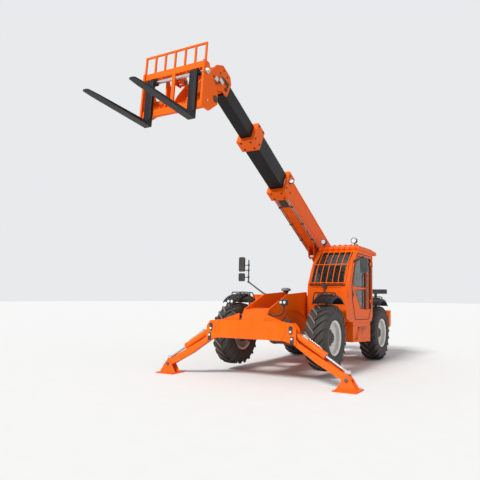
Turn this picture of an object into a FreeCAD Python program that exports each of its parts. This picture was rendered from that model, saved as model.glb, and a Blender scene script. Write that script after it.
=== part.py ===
import FreeCAD, Part
import math
import os
import re
import Sketcher

# Telehandler with front stabilisers, in millimetres.
# Machine frame: X forward from the rear axle, Y to the left, Z up from the ground under level wheels.
# The stabilisers lift the nose, so every piece takes the stance of the machine at the end.

V = FreeCAD.Vector
TURN = FreeCAD.Rotation
PLACE = FreeCAD.Placement

doc = FreeCAD.newDocument("Telehandler")
sheet = doc.addObject("Spreadsheet::Sheet", "Sizes")

# Each row: name, size, meaning
SIZES = (
    ("wheelbase", 3070, "rear axle to front axle"),
    ("track", 1975, "between the middles of two tyres of an axle"),
    ("stance_pitch", 2.0, "degrees that the stabilisers lift the nose"),
    ("origin_ahead", 3219, "origin ahead of the rear axle, under the middle of the length"),
    ("run_gap", 0.08, "radial gap of a pin in its bore"),
    ("seat_gap", 0.3, "gap between pieces that seat on curved or sliding faces"),
    ("side_gap", 3, "gap beside an eye between its ears"),
    ("tyre_radius", 625, "to the tips of the lugs"),
    ("tyre_width", 405, "section width"),
    ("rim_radius", 328, "outer flange of the rim"),
    ("rim_half", 185, "middle of the rim to its flange"),
    ("bead_radius", 304, "bead seat of the rim"),
    ("disc_offset", 40, "wheel disc ahead of the rim's middle"),
    ("hub_radius", 130, "planetary hub"),
    ("hub_reach", 130, "end of the hub from the rim's middle"),
    ("kingpin_in", 197.5, "kingpin inside of the tyre's middle"),
    ("kingpin_radius", 26, "kingpin"),
    ("spindle_radius", 60, "spindle that carries the wheel"),
    ("axle_tube", 92, "radius of the axle housing"),
    ("axle_lift", 175, "axle centre to the frame's seat above it"),
    ("fender_radius", 545, "outside of the mudguard's arc"),
    ("fender_wall", 8, "mudguard wall"),
    ("fender_back", 130, "mudguard's arc centre behind the axle"),
    ("fender_rise", 250, "mudguard's arc centre above the axle"),
    ("fender_width", 380, "mudguard width"),
    ("plate_y", 235, "inside of the frame's side plates from the middle"),
    ("plate_wall", 25, "thickness of the frame's side plates"),
    ("frame_rear", -1150, "rear end of the side plates"),
    ("frame_floor", 430, "underside of the frame between the axles"),
    ("frame_deck", 1150, "top of the side plates beside the cab"),
    ("nose_top", 1480, "top of the side plates over the front axle"),
    ("slant_reach", 160, "start of the nose's slope, ahead of the front axle"),
    ("nose_reach", 1020, "front of the side plates, ahead of the front axle"),
    ("boom_pin_x", -560, "boom hinge behind the rear axle"),
    ("boom_pin_z", 1700, "boom hinge above the ground"),
    ("boom_pin_radius", 40, "boom hinge pin"),
    ("boom_angle", 27.2, "degrees that the boom is raised in the photo"),
    ("outer_width", 330, "outer boom section"),
    ("outer_height", 440, "outer boom section"),
    ("outer_lift", 40, "middle of the section above the hinge line"),
    ("outer_wall", 12, "outer boom plate"),
    ("outer_rear", -130, "rear end from the hinge"),
    ("outer_front", 4255, "front end from the hinge"),
    ("mid_width", 286, "middle boom section"),
    ("mid_height", 340, "middle boom section"),
    ("mid_wall", 10, "middle boom plate"),
    ("mid_rear", 1500, "rear end from the hinge"),
    ("mid_front", 5680, "front end from the hinge"),
    ("inner_width", 210, "inner boom section"),
    ("inner_height", 256, "inner boom section"),
    ("inner_wall", 10, "inner boom plate"),
    ("inner_rear", 2300, "rear end from the hinge"),
    ("inner_front", 6700, "start of the head from the hinge"),
    ("collar_length", 270, "reinforcing collar of a section"),
    ("collar_wall", 36, "collar outside its section"),
    ("head_wall", 25, "plates of the head"),
    ("head_rise", 115, "top of the head above the inner section"),
    ("head_pin_u", 7323, "carriage hinge along the boom"),
    ("head_pin_w", -967, "carriage hinge across the boom"),
    ("carriage_tilt", 4.2, "degrees that the carriage leans back"),
    ("carriage_tube", 58, "radius of the carriage's hinge tube"),
    ("carriage_half", 569, "half width of the carriage"),
    ("carriage_front", 330, "front of the side plates ahead of the hinge"),
    ("carriage_top", 469, "top bar above the hinge"),
    ("carriage_low", 230, "bottom bar's underside below the hinge"),
    ("carriage_side", 30, "thickness of the carriage's side plates"),
    ("bar_high", 95, "height of the top and bottom bars"),
    ("bar_face", 300, "front of the bars ahead of the hinge"),
    ("rest_top", 754, "top of the backrest above the hinge"),
    ("rest_bar", 26, "bars of the backrest"),
    ("shaft_radius", 28, "shaft that the forks hang on"),
    ("shaft_x", 262, "fork shaft ahead of the hinge"),
    ("shaft_z", 318, "fork shaft above the hinge"),
    ("fork_y", 400, "fork from the middle"),
    ("fork_width", 130, "fork width"),
    ("fork_thick", 55, "fork thickness"),
    ("fork_reach", 1270, "blade ahead of the shank's back"),
    ("fork_drop", 176, "blade's underside below the bottom bar"),
    ("tilt_base_u", 6735, "tilt cylinder's hinge along the boom"),
    ("tilt_base_w", -20, "tilt cylinder's hinge across the boom"),
    ("tilt_eye_x", 81, "tilt cylinder's eye ahead of the carriage's hinge"),
    ("tilt_eye_z", 320, "tilt cylinder's eye above the carriage's hinge"),
    ("lift_base_x", -200, "lift cylinder's hinge from the rear axle"),
    ("lift_base_z", 980, "lift cylinder's hinge above the ground"),
    ("lift_eye_u", 2060, "lift cylinder's eye along the boom"),
    ("lift_eye_w", -345, "lift cylinder's eye across the boom"),
    ("lift_closing", 362, "lift rod's travel into its barrel as the boom comes down"),
    ("tilt_closing", 172, "tilt rod's travel into its barrel as the forks tip up"),
    ("leg_closing", 188, "leg rod's travel into its barrel as the leg folds up"),
    ("beam_reach", 1190, "front face of the stabiliser beam, ahead of the front axle"),
    ("beam_depth", 170, "stabiliser beam, front to back"),
    ("beam_low", 597, "underside of the beam"),
    ("beam_top", 925, "top of the beam"),
    ("beam_half", 740, "half length of the closed beam"),
    ("beam_wall", 18, "plates of the beam"),
    ("leg_pin_y", 845, "leg hinge from the middle"),
    ("leg_pin_z", 640, "leg hinge above the ground"),
    ("ram_pin_y", 820, "leg cylinder's hinge from the middle"),
    ("ram_pin_z", 760, "leg cylinder's hinge above the ground"),
    ("leg_width", 124, "leg, front to back"),
    ("ram_eye_back", 60, "leg cylinder's eye short of the foot hinge"),
    ("ram_eye_lift", 95, "leg cylinder's eye above the leg's middle line"),
    ("foot_pin_y", 1812, "foot hinge from the middle"),
    ("foot_size", 400, "side of the foot's plate"),
    ("foot_height", 182, "foot hinge above the ground that it stands on"),
    ("tow_plate", 35, "thickness of the towing plate"),
    ("tow_hole_radius", 17, "hole for the towing pin"),
    ("mirror_y", 960, "post of the right mirrors from the middle"),
    ("wheel_room", 765, "axle to the hood and boxes, clear of the steered wheel"),
    ("cab_rear", 665, "rear of the cab, ahead of the rear axle"),
    ("cab_back", 675, "front of the cab, behind the front axle"),
    ("cab_inner", 300, "cab's right wall from the middle"),
    ("cab_outer", 1150, "cab's left wall from the middle"),
    ("cab_wall", 40, "cab panels and door"),
    ("seat_height", 1339.5, "top of the seat's base"),
    ("hinge_back", 22, "door hinge behind the doorway"),
    ("door_hinge_y", 1164, "door hinge from the middle"),
    ("hinge_pin", 6, "door hinge pin"),
    ("cab_floor", 905, "underside of the cab"),
    ("cab_top", 2420, "underside of the roof"),
    ("roof_top", 2512, "top of the roof"),
)

for row, (name, size, meaning) in enumerate(SIZES, start=1):
    sheet.set("A%d" % row, name)
    sheet.set("B%d" % row, str(size))
    sheet.set("C%d" % row, meaning)
    sheet.setAlias("B%d" % row, name)
doc.recompute()

VALUES = {name: float(sheet.get(name)) for name, size, meaning in SIZES}
# Places that follow from the sizes
PLACES = {
    "kingpin_y": "(track / 2 - kingpin_in)",
    "beam_front": "(wheelbase + beam_reach)",
    "leg_x": "(wheelbase + beam_reach - beam_depth / 2)",
    "nose_front": "(wheelbase + nose_reach)",
    "nose_slant": "(wheelbase + slant_reach)",
    "cab_front": "(wheelbase - cab_back)",
    "hood_front": "(wheelbase - wheel_room)",
    "door_hinge_x": "(cab_rear + 95 - hinge_back)",
    "mirror_x": "(wheelbase - 420)",
    "cab_middle": "((cab_inner + cab_outer) / 2)",
}


def words(names):
    return re.compile(r"\b(" + "|".join(sorted(names, key=len, reverse=True)) + r")\b")


ALIAS, PLACE_NAME = words(VALUES), words(PLACES)


def spell(formula):
    """The formula with each place written out in sizes."""
    return PLACE_NAME.sub(lambda found: PLACES[found.group(1)], formula)


def size(text):
    """The number that a formula of named sizes gives."""
    if isinstance(text, (int, float)):
        return float(text)
    total = ALIAS.sub(lambda found: repr(VALUES[found.group(1)]), spell(text))
    return float(FreeCAD.Units.parseQuantity(total).Value)


def bind(thing, prop, formula):
    """Sets a property now and ties it to the sheet."""
    if isinstance(formula, (int, float)):
        thing.setExpression(prop, repr(float(formula)))
    else:
        thing.setExpression(prop, ALIAS.sub(r"Sizes.\1", spell(formula)))


def at(thing, x, y, z):
    """Ties the place of a primitive to the sheet."""
    for letter, formula in zip("xyz", (x, y, z)):
        bind(thing, "Placement.Base." + letter, formula)
    return thing


def box(name, x, y, z, length, width, height):
    """A block from its lowest corner."""
    block = doc.addObject("Part::Box", name)
    bind(block, "Length", length)
    bind(block, "Width", width)
    bind(block, "Height", height)
    return at(block, x, y, z)


AXIS_TURN = {
    "X": TURN(V(0, 1, 0), 90),
    "Y": TURN(V(1, 0, 0), -90),
    "Z": TURN(),
}


def rod(name, axis, x, y, z, radius, length, lean=None):
    """A round bar that runs from x, y, z along +axis, or leans from there."""
    bar = doc.addObject("Part::Cylinder", name)
    bar.Placement = PLACE(V(), lean * AXIS_TURN[axis] if lean else AXIS_TURN[axis])
    bind(bar, "Radius", radius)
    bind(bar, "Height", length)
    return at(bar, x, y, z)


def strut(name, start, end, radius):
    """A round bar between two points."""
    low, high = V(*map(size, start)), V(*map(size, end))
    bar = doc.addObject("Part::Cylinder", name)
    bind(bar, "Radius", radius)
    bar.Height = (high - low).Length
    bar.Placement = PLACE(low, TURN(V(0, 0, 1), high - low))
    return bar


# Sketch planes: its X, its Y and its normal in the frame of the piece
PLANE_TURN = {
    "XY": TURN(),
    "XZ": TURN(V(1, 0, 0), V(0, 0, 1), V(0, -1, 0), "ZXY"),
    "YZ": TURN(V(0, 1, 0), V(0, 0, 1), V(1, 0, 0), "ZXY"),
}


THIRD = {"XY": "z", "XZ": "y", "YZ": "x"}


def outline(name, plane, start, points):
    """A closed sketch of straight edges, each corner tied to two formulas."""
    sketch = doc.addObject("Sketcher::SketchObject", name)
    sketch.Placement = PLACE(V(), PLANE_TURN[plane])
    bind(sketch, "Placement.Base." + THIRD[plane], start)
    spots = [V(size(a), size(b), 0) for a, b in points]
    count = len(spots)
    for k in range(count):
        sketch.addGeometry(Part.LineSegment(spots[k], spots[(k + 1) % count]), False)
    for k in range(count):
        sketch.addConstraint(Sketcher.Constraint("Coincident", k, 2, (k + 1) % count, 1))
    for k, (a, b) in enumerate(points):
        for kind, formula, spot in (("DistanceX", a, spots[k].x), ("DistanceY", b, spots[k].y)):
            index = sketch.addConstraint(Sketcher.Constraint(kind, -1, 1, k, 1, spot))
            if not isinstance(formula, (int, float)):
                bind(sketch, "Constraints[%d]" % index, formula)
    return sketch


def plate(name, plane, start, thickness, points):
    """An outline made solid, from start along the third axis of the frame."""
    solid = doc.addObject("Part::Extrusion", name)
    solid.Base = outline(name + "_outline", plane, start, points)
    solid.DirMode = "Custom"
    solid.Dir = {"XY": V(0, 0, 1), "XZ": V(0, 1, 0), "YZ": V(1, 0, 0)}[plane]
    solid.Solid = True
    bind(solid, "LengthFwd", thickness)
    return solid


def turned(name, points):
    """A profile of radius and Y, turned about the Y axis."""
    solid = doc.addObject("Part::Revolution", name)
    solid.Source = outline(name + "_outline", "XY", 0, points)
    solid.Axis = V(0, 1, 0)
    solid.Angle = 360
    solid.Solid = True
    return solid


def fuse(name, *pieces):
    joined = doc.addObject("Part::MultiFuse", name)
    joined.Shapes = list(pieces)
    joined.Refine = True
    return joined


def overlap(name, one, other):
    shared = doc.addObject("Part::Common", name)
    shared.Base = one
    shared.Tool = other
    return shared


def cut(name, whole, *tools):
    left = whole
    for k, tool in enumerate(tools):
        step = doc.addObject("Part::Cut", name if k == len(tools) - 1 else "%s_%d" % (name, k))
        step.Base = left
        step.Tool = tool
        left = step
    return left


# Frames of the bodies, each from its own zero pose to the ground
def machine_frame():
    pitch = TURN(V(0, 1, 0), -size("stance_pitch"))
    wheel = V(0, 0, size("tyre_radius"))
    base = wheel - pitch.multVec(wheel) - V(size("origin_ahead"), 0, 0)
    return PLACE(base, pitch)


MACHINE = machine_frame()
BOOM = MACHINE * PLACE(V(size("boom_pin_x"), 0, size("boom_pin_z")), TURN(V(0, 1, 0), -size("boom_angle")))
CARRIAGE = BOOM * PLACE(
    V(size("head_pin_u"), 0, size("head_pin_w")),
    TURN(V(0, 1, 0), size("boom_angle") - size("carriage_tilt")),
)
SIDES = (("left", 1), ("right", -1))
CORNERS = (
    ("front_left", "wheelbase", 1),
    ("front_right", "wheelbase", -1),
    ("rear_left", "0", 1),
    ("rear_right", "0", -1),
)
NODES = []


def keep(name, solid, frame):
    """A finished piece: its label, and the frame that it is drawn in."""
    solid.Label = name
    NODES.append((name, solid, frame))
    return solid


def corner_frame(x, side):
    """Hub of a wheel, Y outwards."""
    turn = TURN() if side > 0 else TURN(V(0, 0, 1), 180)
    return MACHINE * PLACE(V(size(x), side * size("track") / 2, size("tyre_radius")), turn)


def link_frame(frame, start, end, across=V(0, 1, 0)):
    """X from start to end, Y across."""
    along = (end - start).normalize()
    up = along.cross(across)
    return frame * PLACE(start, TURN(along, across, up, "XYZ"))


def wheels():
    for corner, x, side in CORNERS:
        frame = corner_frame(x, side)
        tyre = turned("tyre_shape_" + corner, (
            ("bead_radius + seat_gap", "-rim_half + 25"),
            ("rim_radius + 4", "-rim_half + 18"),
            ("rim_radius + 70", "-tyre_width / 2"),
            ("tyre_radius - 95", "-tyre_width / 2"),
            ("tyre_radius - 22", "-tyre_width / 2 + 22"),
            ("tyre_radius", "-tyre_width / 2 + 60"),
            ("tyre_radius", "tyre_width / 2 - 60"),
            ("tyre_radius - 22", "tyre_width / 2 - 22"),
            ("tyre_radius - 95", "tyre_width / 2"),
            ("rim_radius + 70", "tyre_width / 2"),
            ("rim_radius + 4", "rim_half - 18"),
            ("bead_radius + seat_gap", "rim_half - 25"),
        ))
        keep("tyre_" + corner, tyre, frame)
        rim = turned("rim_shape_" + corner, (
            ("rim_radius", "-rim_half"),
            ("rim_radius", "-rim_half + 14"),
            ("bead_radius", "-rim_half + 24"),
            ("bead_radius", "rim_half - 24"),
            ("rim_radius", "rim_half - 14"),
            ("rim_radius", "rim_half"),
            ("bead_radius - 14", "rim_half - 20"),
            ("bead_radius - 14", "disc_offset + 60"),
            ("hub_radius + 60", "disc_offset + 14"),
            ("hub_radius", "disc_offset + 14"),
            ("hub_radius", "disc_offset + 30"),
            ("hub_radius - 40", "hub_reach"),
            ("0", "hub_reach"),
            ("0", "disc_offset - 20"),
            ("hub_radius + 60", "disc_offset - 4"),
            ("bead_radius - 14", "disc_offset + 40"),
            ("bead_radius - 14", "-rim_half + 20"),
        ))
        keep("rim_" + corner, rim, frame)


def knuckles():
    inward = "kingpin_y - track / 2"
    bracket_y = "-tyre_width / 2 - 30"
    for corner, x, side in CORNERS:
        frame = corner_frame(x, side)
        tag = "_" + corner
        pillar = rod("pillar" + tag, "Z", 0, inward, -118, "spindle_radius", 236)
        pin = rod("kingpin" + tag, "Z", 0, inward, -170, "kingpin_radius", 340)
        spindle = rod("spindle" + tag, "Y", 0, inward, 0, "spindle_radius", "disc_offset - 20 - seat_gap - (%s)" % inward)
        arm_x = "-190" if side > 0 else "0"
        arm = box("steering_arm" + tag, arm_x, inward + " - 30", -90, 190, 40, 40)
        # mudguard bracket: it stands behind the axle, as the mudguard does
        back = "-160" if side > 0 else "120"
        step = box("fender_step" + tag, back if side > 0 else 0, bracket_y, 40, 160, 16, 60)
        post = box("fender_post" + tag, back, bracket_y, 40, 40, 16, "fender_rise + fender_radius + seat_gap - 12")
        bar = box("fender_bar" + tag, back, bracket_y, "fender_rise + fender_radius + seat_gap", 40, 330, 28)
        keep("knuckle" + tag, fuse("knuckle_shape" + tag, pillar, pin, spindle, arm, step, post, bar), frame)


def fenders():
    for corner, x, side in CORNERS:
        # the long end of the mudguard lies behind the wheel on both sides
        frame = MACHINE * PLACE(V(size(x), 0, size("tyre_radius")), TURN())
        tag = "_" + corner
        low = "track / 2 - fender_width / 2" if side > 0 else "-track / 2 - fender_width / 2"
        outer = rod("fender_outer" + tag, "Y", "-fender_back", low, "fender_rise", "fender_radius", "fender_width")
        inner = rod("fender_inner" + tag, "Y", "-fender_back", low + " - 1", "fender_rise", "fender_radius - fender_wall", "fender_width + 2")
        keep_zone = box("fender_zone" + tag, "-fender_back - 385", low + " - 2", "fender_rise + 385", 770, "fender_width + 4", 400)
        shell = cut("fender_shell" + tag, outer, inner)
        keep("fender" + tag, overlap("fender_shape" + tag, shell, keep_zone), frame)


def axles():
    for name, x in (("front_axle", "wheelbase"), ("rear_axle", "0")):
        frame = MACHINE * PLACE(V(size(x), 0, size("tyre_radius")), TURN())
        tube = rod(name + "_tube", "Y", 0, "-kingpin_y + 110", 0, "axle_tube", "2 * kingpin_y - 220")
        bowl = rod(name + "_bowl", "X", -170, 0, 0, 165, 340)
        seat = box(name + "_seat", -130, "-plate_y - plate_wall", 0, 260, "2 * (plate_y + plate_wall)", "axle_lift")
        pieces = [tube, bowl, seat]
        for tag, side in SIDES:
            start = "kingpin_y - 120" if side > 0 else "-kingpin_y - 60"
            for level, low in (("upper", 121), ("lower", -165)):
                ear = box("%s_%s_%s" % (name, tag, level), -55, start, low, 110, 180, 44)
                bore = rod("%s_%s_%s_bore" % (name, tag, level), "Z", 0, "%d * kingpin_y" % side, low - 5, "kingpin_radius + run_gap", 60)
                pieces.append(cut("%s_%s_%s_ear" % (name, tag, level), ear, bore))
            stop = "kingpin_y - 120" if side > 0 else "-kingpin_y + 80"
            pieces.append(box("%s_%s_web" % (name, tag), -45, stop, -165, 90, 40, 330))
        keep(name, fuse(name + "_shape", *pieces), frame)


def main_frame():
    side_outline = (
        ("frame_rear", "frame_floor + 200"),
        ("-330", "frame_floor + 200"),
        ("-330", "tyre_radius + axle_lift"),
        ("330", "tyre_radius + axle_lift"),
        ("330", "frame_floor"),
        ("wheelbase - 330", "frame_floor"),
        ("wheelbase - 330", "tyre_radius + axle_lift"),
        ("wheelbase + 330", "tyre_radius + axle_lift"),
        ("wheelbase + 330", "beam_low"),
        ("nose_front", "beam_low"),
        ("nose_front", "beam_top + 80"),
        ("nose_front - 90", "beam_top + 210"),
        ("nose_slant", "nose_top - 50"),
        ("wheelbase - 740", "nose_top + 20"),
        ("wheelbase - 870", "frame_deck"),
        ("250", "frame_deck"),
        ("boom_pin_x + 240", "boom_pin_z + 110"),
        ("boom_pin_x + 60", "boom_pin_z + 170"),
        ("boom_pin_x - 160", "boom_pin_z + 110"),
        ("frame_rear + 120", "frame_deck + 120"),
        ("frame_rear", "frame_deck"),
    )
    left = plate("side_plate_left", "XZ", "plate_y", "plate_wall", side_outline)
    right = plate("side_plate_right", "XZ", "-plate_y - plate_wall", "plate_wall", side_outline)
    floor = box("frame_floor_plate", 330, "-plate_y", "frame_floor", "wheelbase - 660", "2 * plate_y", 20)
    saddle_rear = box("rear_saddle", -330, "-plate_y", "tyre_radius + axle_lift", 660, "2 * plate_y", 20)
    saddle_front = box("front_saddle", "wheelbase - 330", "-plate_y", "tyre_radius + axle_lift", 660, "2 * plate_y", 20)
    tail = box("tail_plate", "frame_rear", "-plate_y", "frame_floor + 200", 25, "2 * plate_y", "frame_deck - frame_floor - 200")
    boom_pin = rod("boom_pin", "Y", "boom_pin_x", "-plate_y - plate_wall - 12", "boom_pin_z", "boom_pin_radius", "2 * (plate_y + plate_wall + 12)")
    lift_pin = rod("lift_pin", "Y", "lift_base_x", "-plate_y - plate_wall - 12", "lift_base_z", 30, "2 * (plate_y + plate_wall + 12)")
    engine_shelf = box("engine_shelf", 1000, "-960", 470, 800, "960 - plate_y", 50)
    cab_shelf = box("cab_shelf", 800, "plate_y + plate_wall", "cab_floor - 45", 1300, 700, 45)
    keep("main_frame", fuse("main_frame_shape", left, right, floor, saddle_rear, saddle_front, tail, boom_pin,
                            lift_pin, engine_shelf, cab_shelf), MACHINE)


def nose():
    cover = plate("nose_cover_shape", "XZ", "-plate_y", "2 * plate_y", (
        ("nose_front - 20", "beam_top"),
        ("nose_front + 60", "beam_top"),
        ("nose_front - 60", "beam_top + 190"),
        ("nose_front - 400", "beam_top + 230"),
        ("nose_front - 400", "beam_top + 210"),
        ("nose_front - 80", "beam_top + 170"),
    ))
    keep("nose_cover", cover, MACHINE)
    lamps = []
    for tag, side in SIDES:
        inner = "plate_y + plate_wall" if side > 0 else "-plate_y - plate_wall - 40"
        reach = "plate_y + plate_wall + 30" if side > 0 else "-plate_y - plate_wall - 330"
        lamp_y = "480" if side > 0 else "-620"
        lamps.append(box("lamp_foot_" + tag, "nose_front - 130", inner, 985, 40, 40, 60))
        lamps.append(box("lamp_arm_" + tag, "nose_front - 130", reach if side < 0 else inner, 1010, 30, 310, 30))
        lamps.append(box("lamp_post_" + tag, "nose_front - 130", "530" if side > 0 else "-560", 1010, 30, 30, 220))
        lamps.append(box("lamp_head_" + tag, "nose_front - 140", lamp_y, 1210, 90, 140, 110))
    keep("head_lamps", fuse("head_lamps_shape", *lamps), MACHINE)


def stabiliser_beam():
    """Closed box with open clevis ends for the legs and their cylinders."""
    back = "beam_front - beam_depth"
    body = plate("beam_body", "YZ", back, "beam_depth", (
        ("-leg_pin_y - 75", "beam_low - 60"),
        ("-beam_half + 60", "beam_low"),
        ("beam_half - 60", "beam_low"),
        ("leg_pin_y + 75", "beam_low - 60"),
        ("leg_pin_y + 75", "beam_top - 120"),
        ("leg_pin_y", "beam_top - 20"),
        ("beam_half - 80", "beam_top"),
        ("-beam_half + 80", "beam_top"),
        ("-leg_pin_y", "beam_top - 20"),
        ("-leg_pin_y - 75", "beam_top - 120"),
    ))
    slots = []
    for tag, side in SIDES:
        start = "leg_pin_y - 150" if side > 0 else "-leg_pin_y - 150"
        slots.append(box("beam_slot_" + tag, "leg_x - leg_width / 2 - side_gap", start, "beam_low - 100",
                         "leg_width + 2 * side_gap", 300, 500))
    beam = cut("beam_cut", body, *slots)
    pins = []
    for tag, side in SIDES:
        for what, y, z, radius in (("leg", "leg_pin_y", "leg_pin_z", 24), ("ram", "ram_pin_y", "ram_pin_z", 20)):
            pins.append(rod("beam_%s_pin_%s" % (what, tag), "X", back + " - 8", "%d * %s" % (side, y), z, radius, "beam_depth + 16"))
    keep("stabiliser_beam", fuse("beam_shape", beam, *pins), MACHINE)


def foot_pin_z():
    """The foot's plate lies on the ground under the raised nose."""
    pitch = math.radians(size("stance_pitch"))
    rise = size("foot_height") - size("tyre_radius") - size("leg_x") * math.sin(pitch)
    return size("tyre_radius") + rise / math.cos(pitch)


def stabilisers():
    foot_z = foot_pin_z()
    for tag, side in SIDES:
        across = V(1, 0, 0) if side < 0 else V(-1, 0, 0)
        hinge = V(size("leg_x"), side * size("leg_pin_y"), size("leg_pin_z"))
        foot = V(size("leg_x"), side * size("foot_pin_y"), foot_z)
        frame = link_frame(MACHINE, hinge, foot, across)
        reach = (foot - hinge).Length
        body = plate("leg_body_" + tag, "XZ", "-leg_width / 2", "leg_width", (
            ("-45", "-45"), ("60", "-75"), (reach * 0.5, "-88"), (reach - 60, "-52"), (reach + 50, "-45"),
            (reach + 50, "45"), (reach - 40, "95"), (reach - 130, "60"), ("150", "5"), ("40", "40"), ("-45", "40"),
        ))
        channel = box("leg_channel_" + tag, 60, "-leg_width / 2 + 14", -60, reach - 130, "leg_width - 28", 300)
        bore = rod("leg_bore_" + tag, "Y", 0, "-leg_width", 0, "24 + run_gap", "2 * leg_width")
        foot_bore = rod("leg_foot_bore_" + tag, "Y", reach, "-leg_width", 0, "24 + run_gap", "2 * leg_width")
        eye_room = box("leg_eye_room_" + tag, reach - 140, "-leg_width / 2 + 14", -15, 130, "leg_width - 28", 300)
        leg = cut("leg_shape_" + tag, body, channel, eye_room, bore, foot_bore)
        keep("leg_" + tag, leg, frame)
        base = V(size("leg_x"), side * size("ram_pin_y"), size("ram_pin_z"))
        local_eye = V(reach - size("ram_eye_back"), 0, size("ram_eye_lift"))
        eye = MACHINE.inverse().multVec(frame.multVec(local_eye))
        ram(tag, "leg_ram", MACHINE, base, eye, across, 46, 22, 20, size("leg_width") - 28 - 2 * size("side_gap"), 0.62, "leg_closing")
        stand(tag, PLACE(MACHINE.multVec(foot), TURN()), side)


def stand(tag, frame, side):
    """Foot: two ears on a level plate."""
    drop = size("foot_height")
    half = size("leg_width") / 2 + size("side_gap")
    lean = TURN(V(0, 1, 0), -size("stance_pitch"))
    pieces = []
    for end, low in (("front", half), ("rear", -half - 16)):
        ear = plate("foot_ear_%s_%s" % (end, tag), "YZ", low, 16, (
            ("-190", -drop + 8), ("190", -drop + 8), ("60", "30"), ("25", "55"), ("-25", "55"), ("-60", "30"),
        ))
        ear.Placement = PLACE(V(), lean)
        pieces.append(ear)
    start = lean.multVec(V(-half - 30, 0, 0))
    pieces.append(rod("foot_pin_" + tag, "X", start.x, start.y, start.z, 24, 2 * half + 60, lean))
    sole = box("foot_plate_" + tag, "-foot_size / 2", "-foot_size / 2", "-foot_height", "foot_size", "foot_size", 20)
    pieces.append(sole)
    keep("foot_" + tag, fuse("foot_shape_" + tag, *pieces), frame)


def ram(tag, name, frame, base, eye, across, barrel_radius, rod_radius, pin_radius, width, share, closing):
    """A cylinder from its base pin to its rod's eye: barrel and rod, with room for the rod to close."""
    tail = "_" + tag if tag else ""
    length = (eye - base).Length
    place = link_frame(frame, base, eye, across)
    barrel_end = length * share
    eye_radius = pin_radius + 20
    tube = rod(name + "_tube" + tail, "X", eye_radius - 6, 0, 0, barrel_radius, barrel_end - eye_radius + 6)
    knob = rod(name + "_base_eye" + tail, "Y", 0, -width / 2, 0, eye_radius, width)
    hollow = rod(name + "_hollow" + tail, "X", eye_radius + 40, 0, 0, "%r + seat_gap" % float(rod_radius), barrel_end)
    bore = rod(name + "_base_bore" + tail, "Y", 0, -width, 0, "%r + run_gap" % float(pin_radius), 2 * width)
    barrel = cut(name + "_barrel_shape" + tail, fuse(name + "_barrel_whole" + tail, tube, knob), hollow, bore)
    keep(name + "_barrel" + tail, barrel, place)
    start = eye_radius + 55 + size(closing)
    bar = rod(name + "_bar" + tail, "X", start, 0, 0, rod_radius, length - start)
    end = rod(name + "_rod_eye" + tail, "Y", length, -width / 2, 0, eye_radius, width)
    keep(name + "_rod" + tail, fuse(name + "_rod_shape" + tail, bar, end), place)


def section(name, width, height, wall, rear, front, collar_of=None):
    """A boom section: a tube with a collar at its front end that holds the next one."""
    low = "outer_lift - %s / 2" % height
    tube = box(name + "_tube", rear, "-%s / 2" % width, low, "%s - (%s)" % (front, rear), width, height)
    hollow = box(name + "_hollow", rear + " - 5", "-%s / 2 + %s" % (width, wall), low + " + " + wall,
                 "%s - (%s) + 10" % (front, rear), "%s - 2 * %s" % (width, wall), "%s - 2 * %s" % (height, wall))
    if collar_of is None:
        return cut(name + "_section", tube, hollow)
    next_width, next_height = collar_of
    hollow_tube = cut(name + "_section", tube, hollow)
    collar = box(name + "_collar", "%s - collar_length" % front, "-%s / 2 - collar_wall" % width, low + " - collar_wall",
                 "collar_length", "%s + 2 * collar_wall" % width, "%s + 2 * collar_wall" % height)
    mouth = box(name + "_mouth", "%s - collar_length - 5" % front, "-%s / 2 - seat_gap" % next_width,
                "outer_lift - %s / 2 - seat_gap" % next_height, "collar_length + 10",
                "%s + 2 * seat_gap" % next_width, "%s + 2 * seat_gap" % next_height)
    ring = cut(name + "_ring", collar, mouth)
    return fuse(name + "_whole", hollow_tube, ring)


def boom():
    outer = section("outer", "outer_width", "outer_height", "outer_wall", "outer_rear", "outer_front", ("mid_width", "mid_height"))
    boss = rod("boom_boss", "Y", 0, "-plate_y + side_gap", 0, 100, "2 * (plate_y - side_gap)")
    ears = []
    for tag, side in SIDES:
        ears.append(plate("lift_ear_" + tag, "XZ", "50" if side > 0 else "-75", 25, (
            ("lift_eye_u - 190", "outer_lift - outer_height / 2 + 2"),
            ("lift_eye_u - 60", "lift_eye_w - 40"),
            ("lift_eye_u + 60", "lift_eye_w - 40"),
            ("lift_eye_u + 190", "outer_lift - outer_height / 2 + 2"),
        )))
    bore = rod("boom_bore", "Y", 0, "-plate_y - 20", 0, "boom_pin_radius + run_gap", "2 * plate_y + 40")
    keep("boom_outer", cut("boom_outer_shape", fuse("boom_outer_whole", outer, boss, *ears), bore), BOOM)
    mid = section("mid", "mid_width", "mid_height", "mid_wall", "mid_rear", "mid_front", ("inner_width", "inner_height"))
    keep("boom_mid", mid, BOOM)
    inner = section("inner", "inner_width", "inner_height", "inner_wall", "inner_rear", "inner_front")
    keep("boom_inner", inner, BOOM)
    head()


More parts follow.
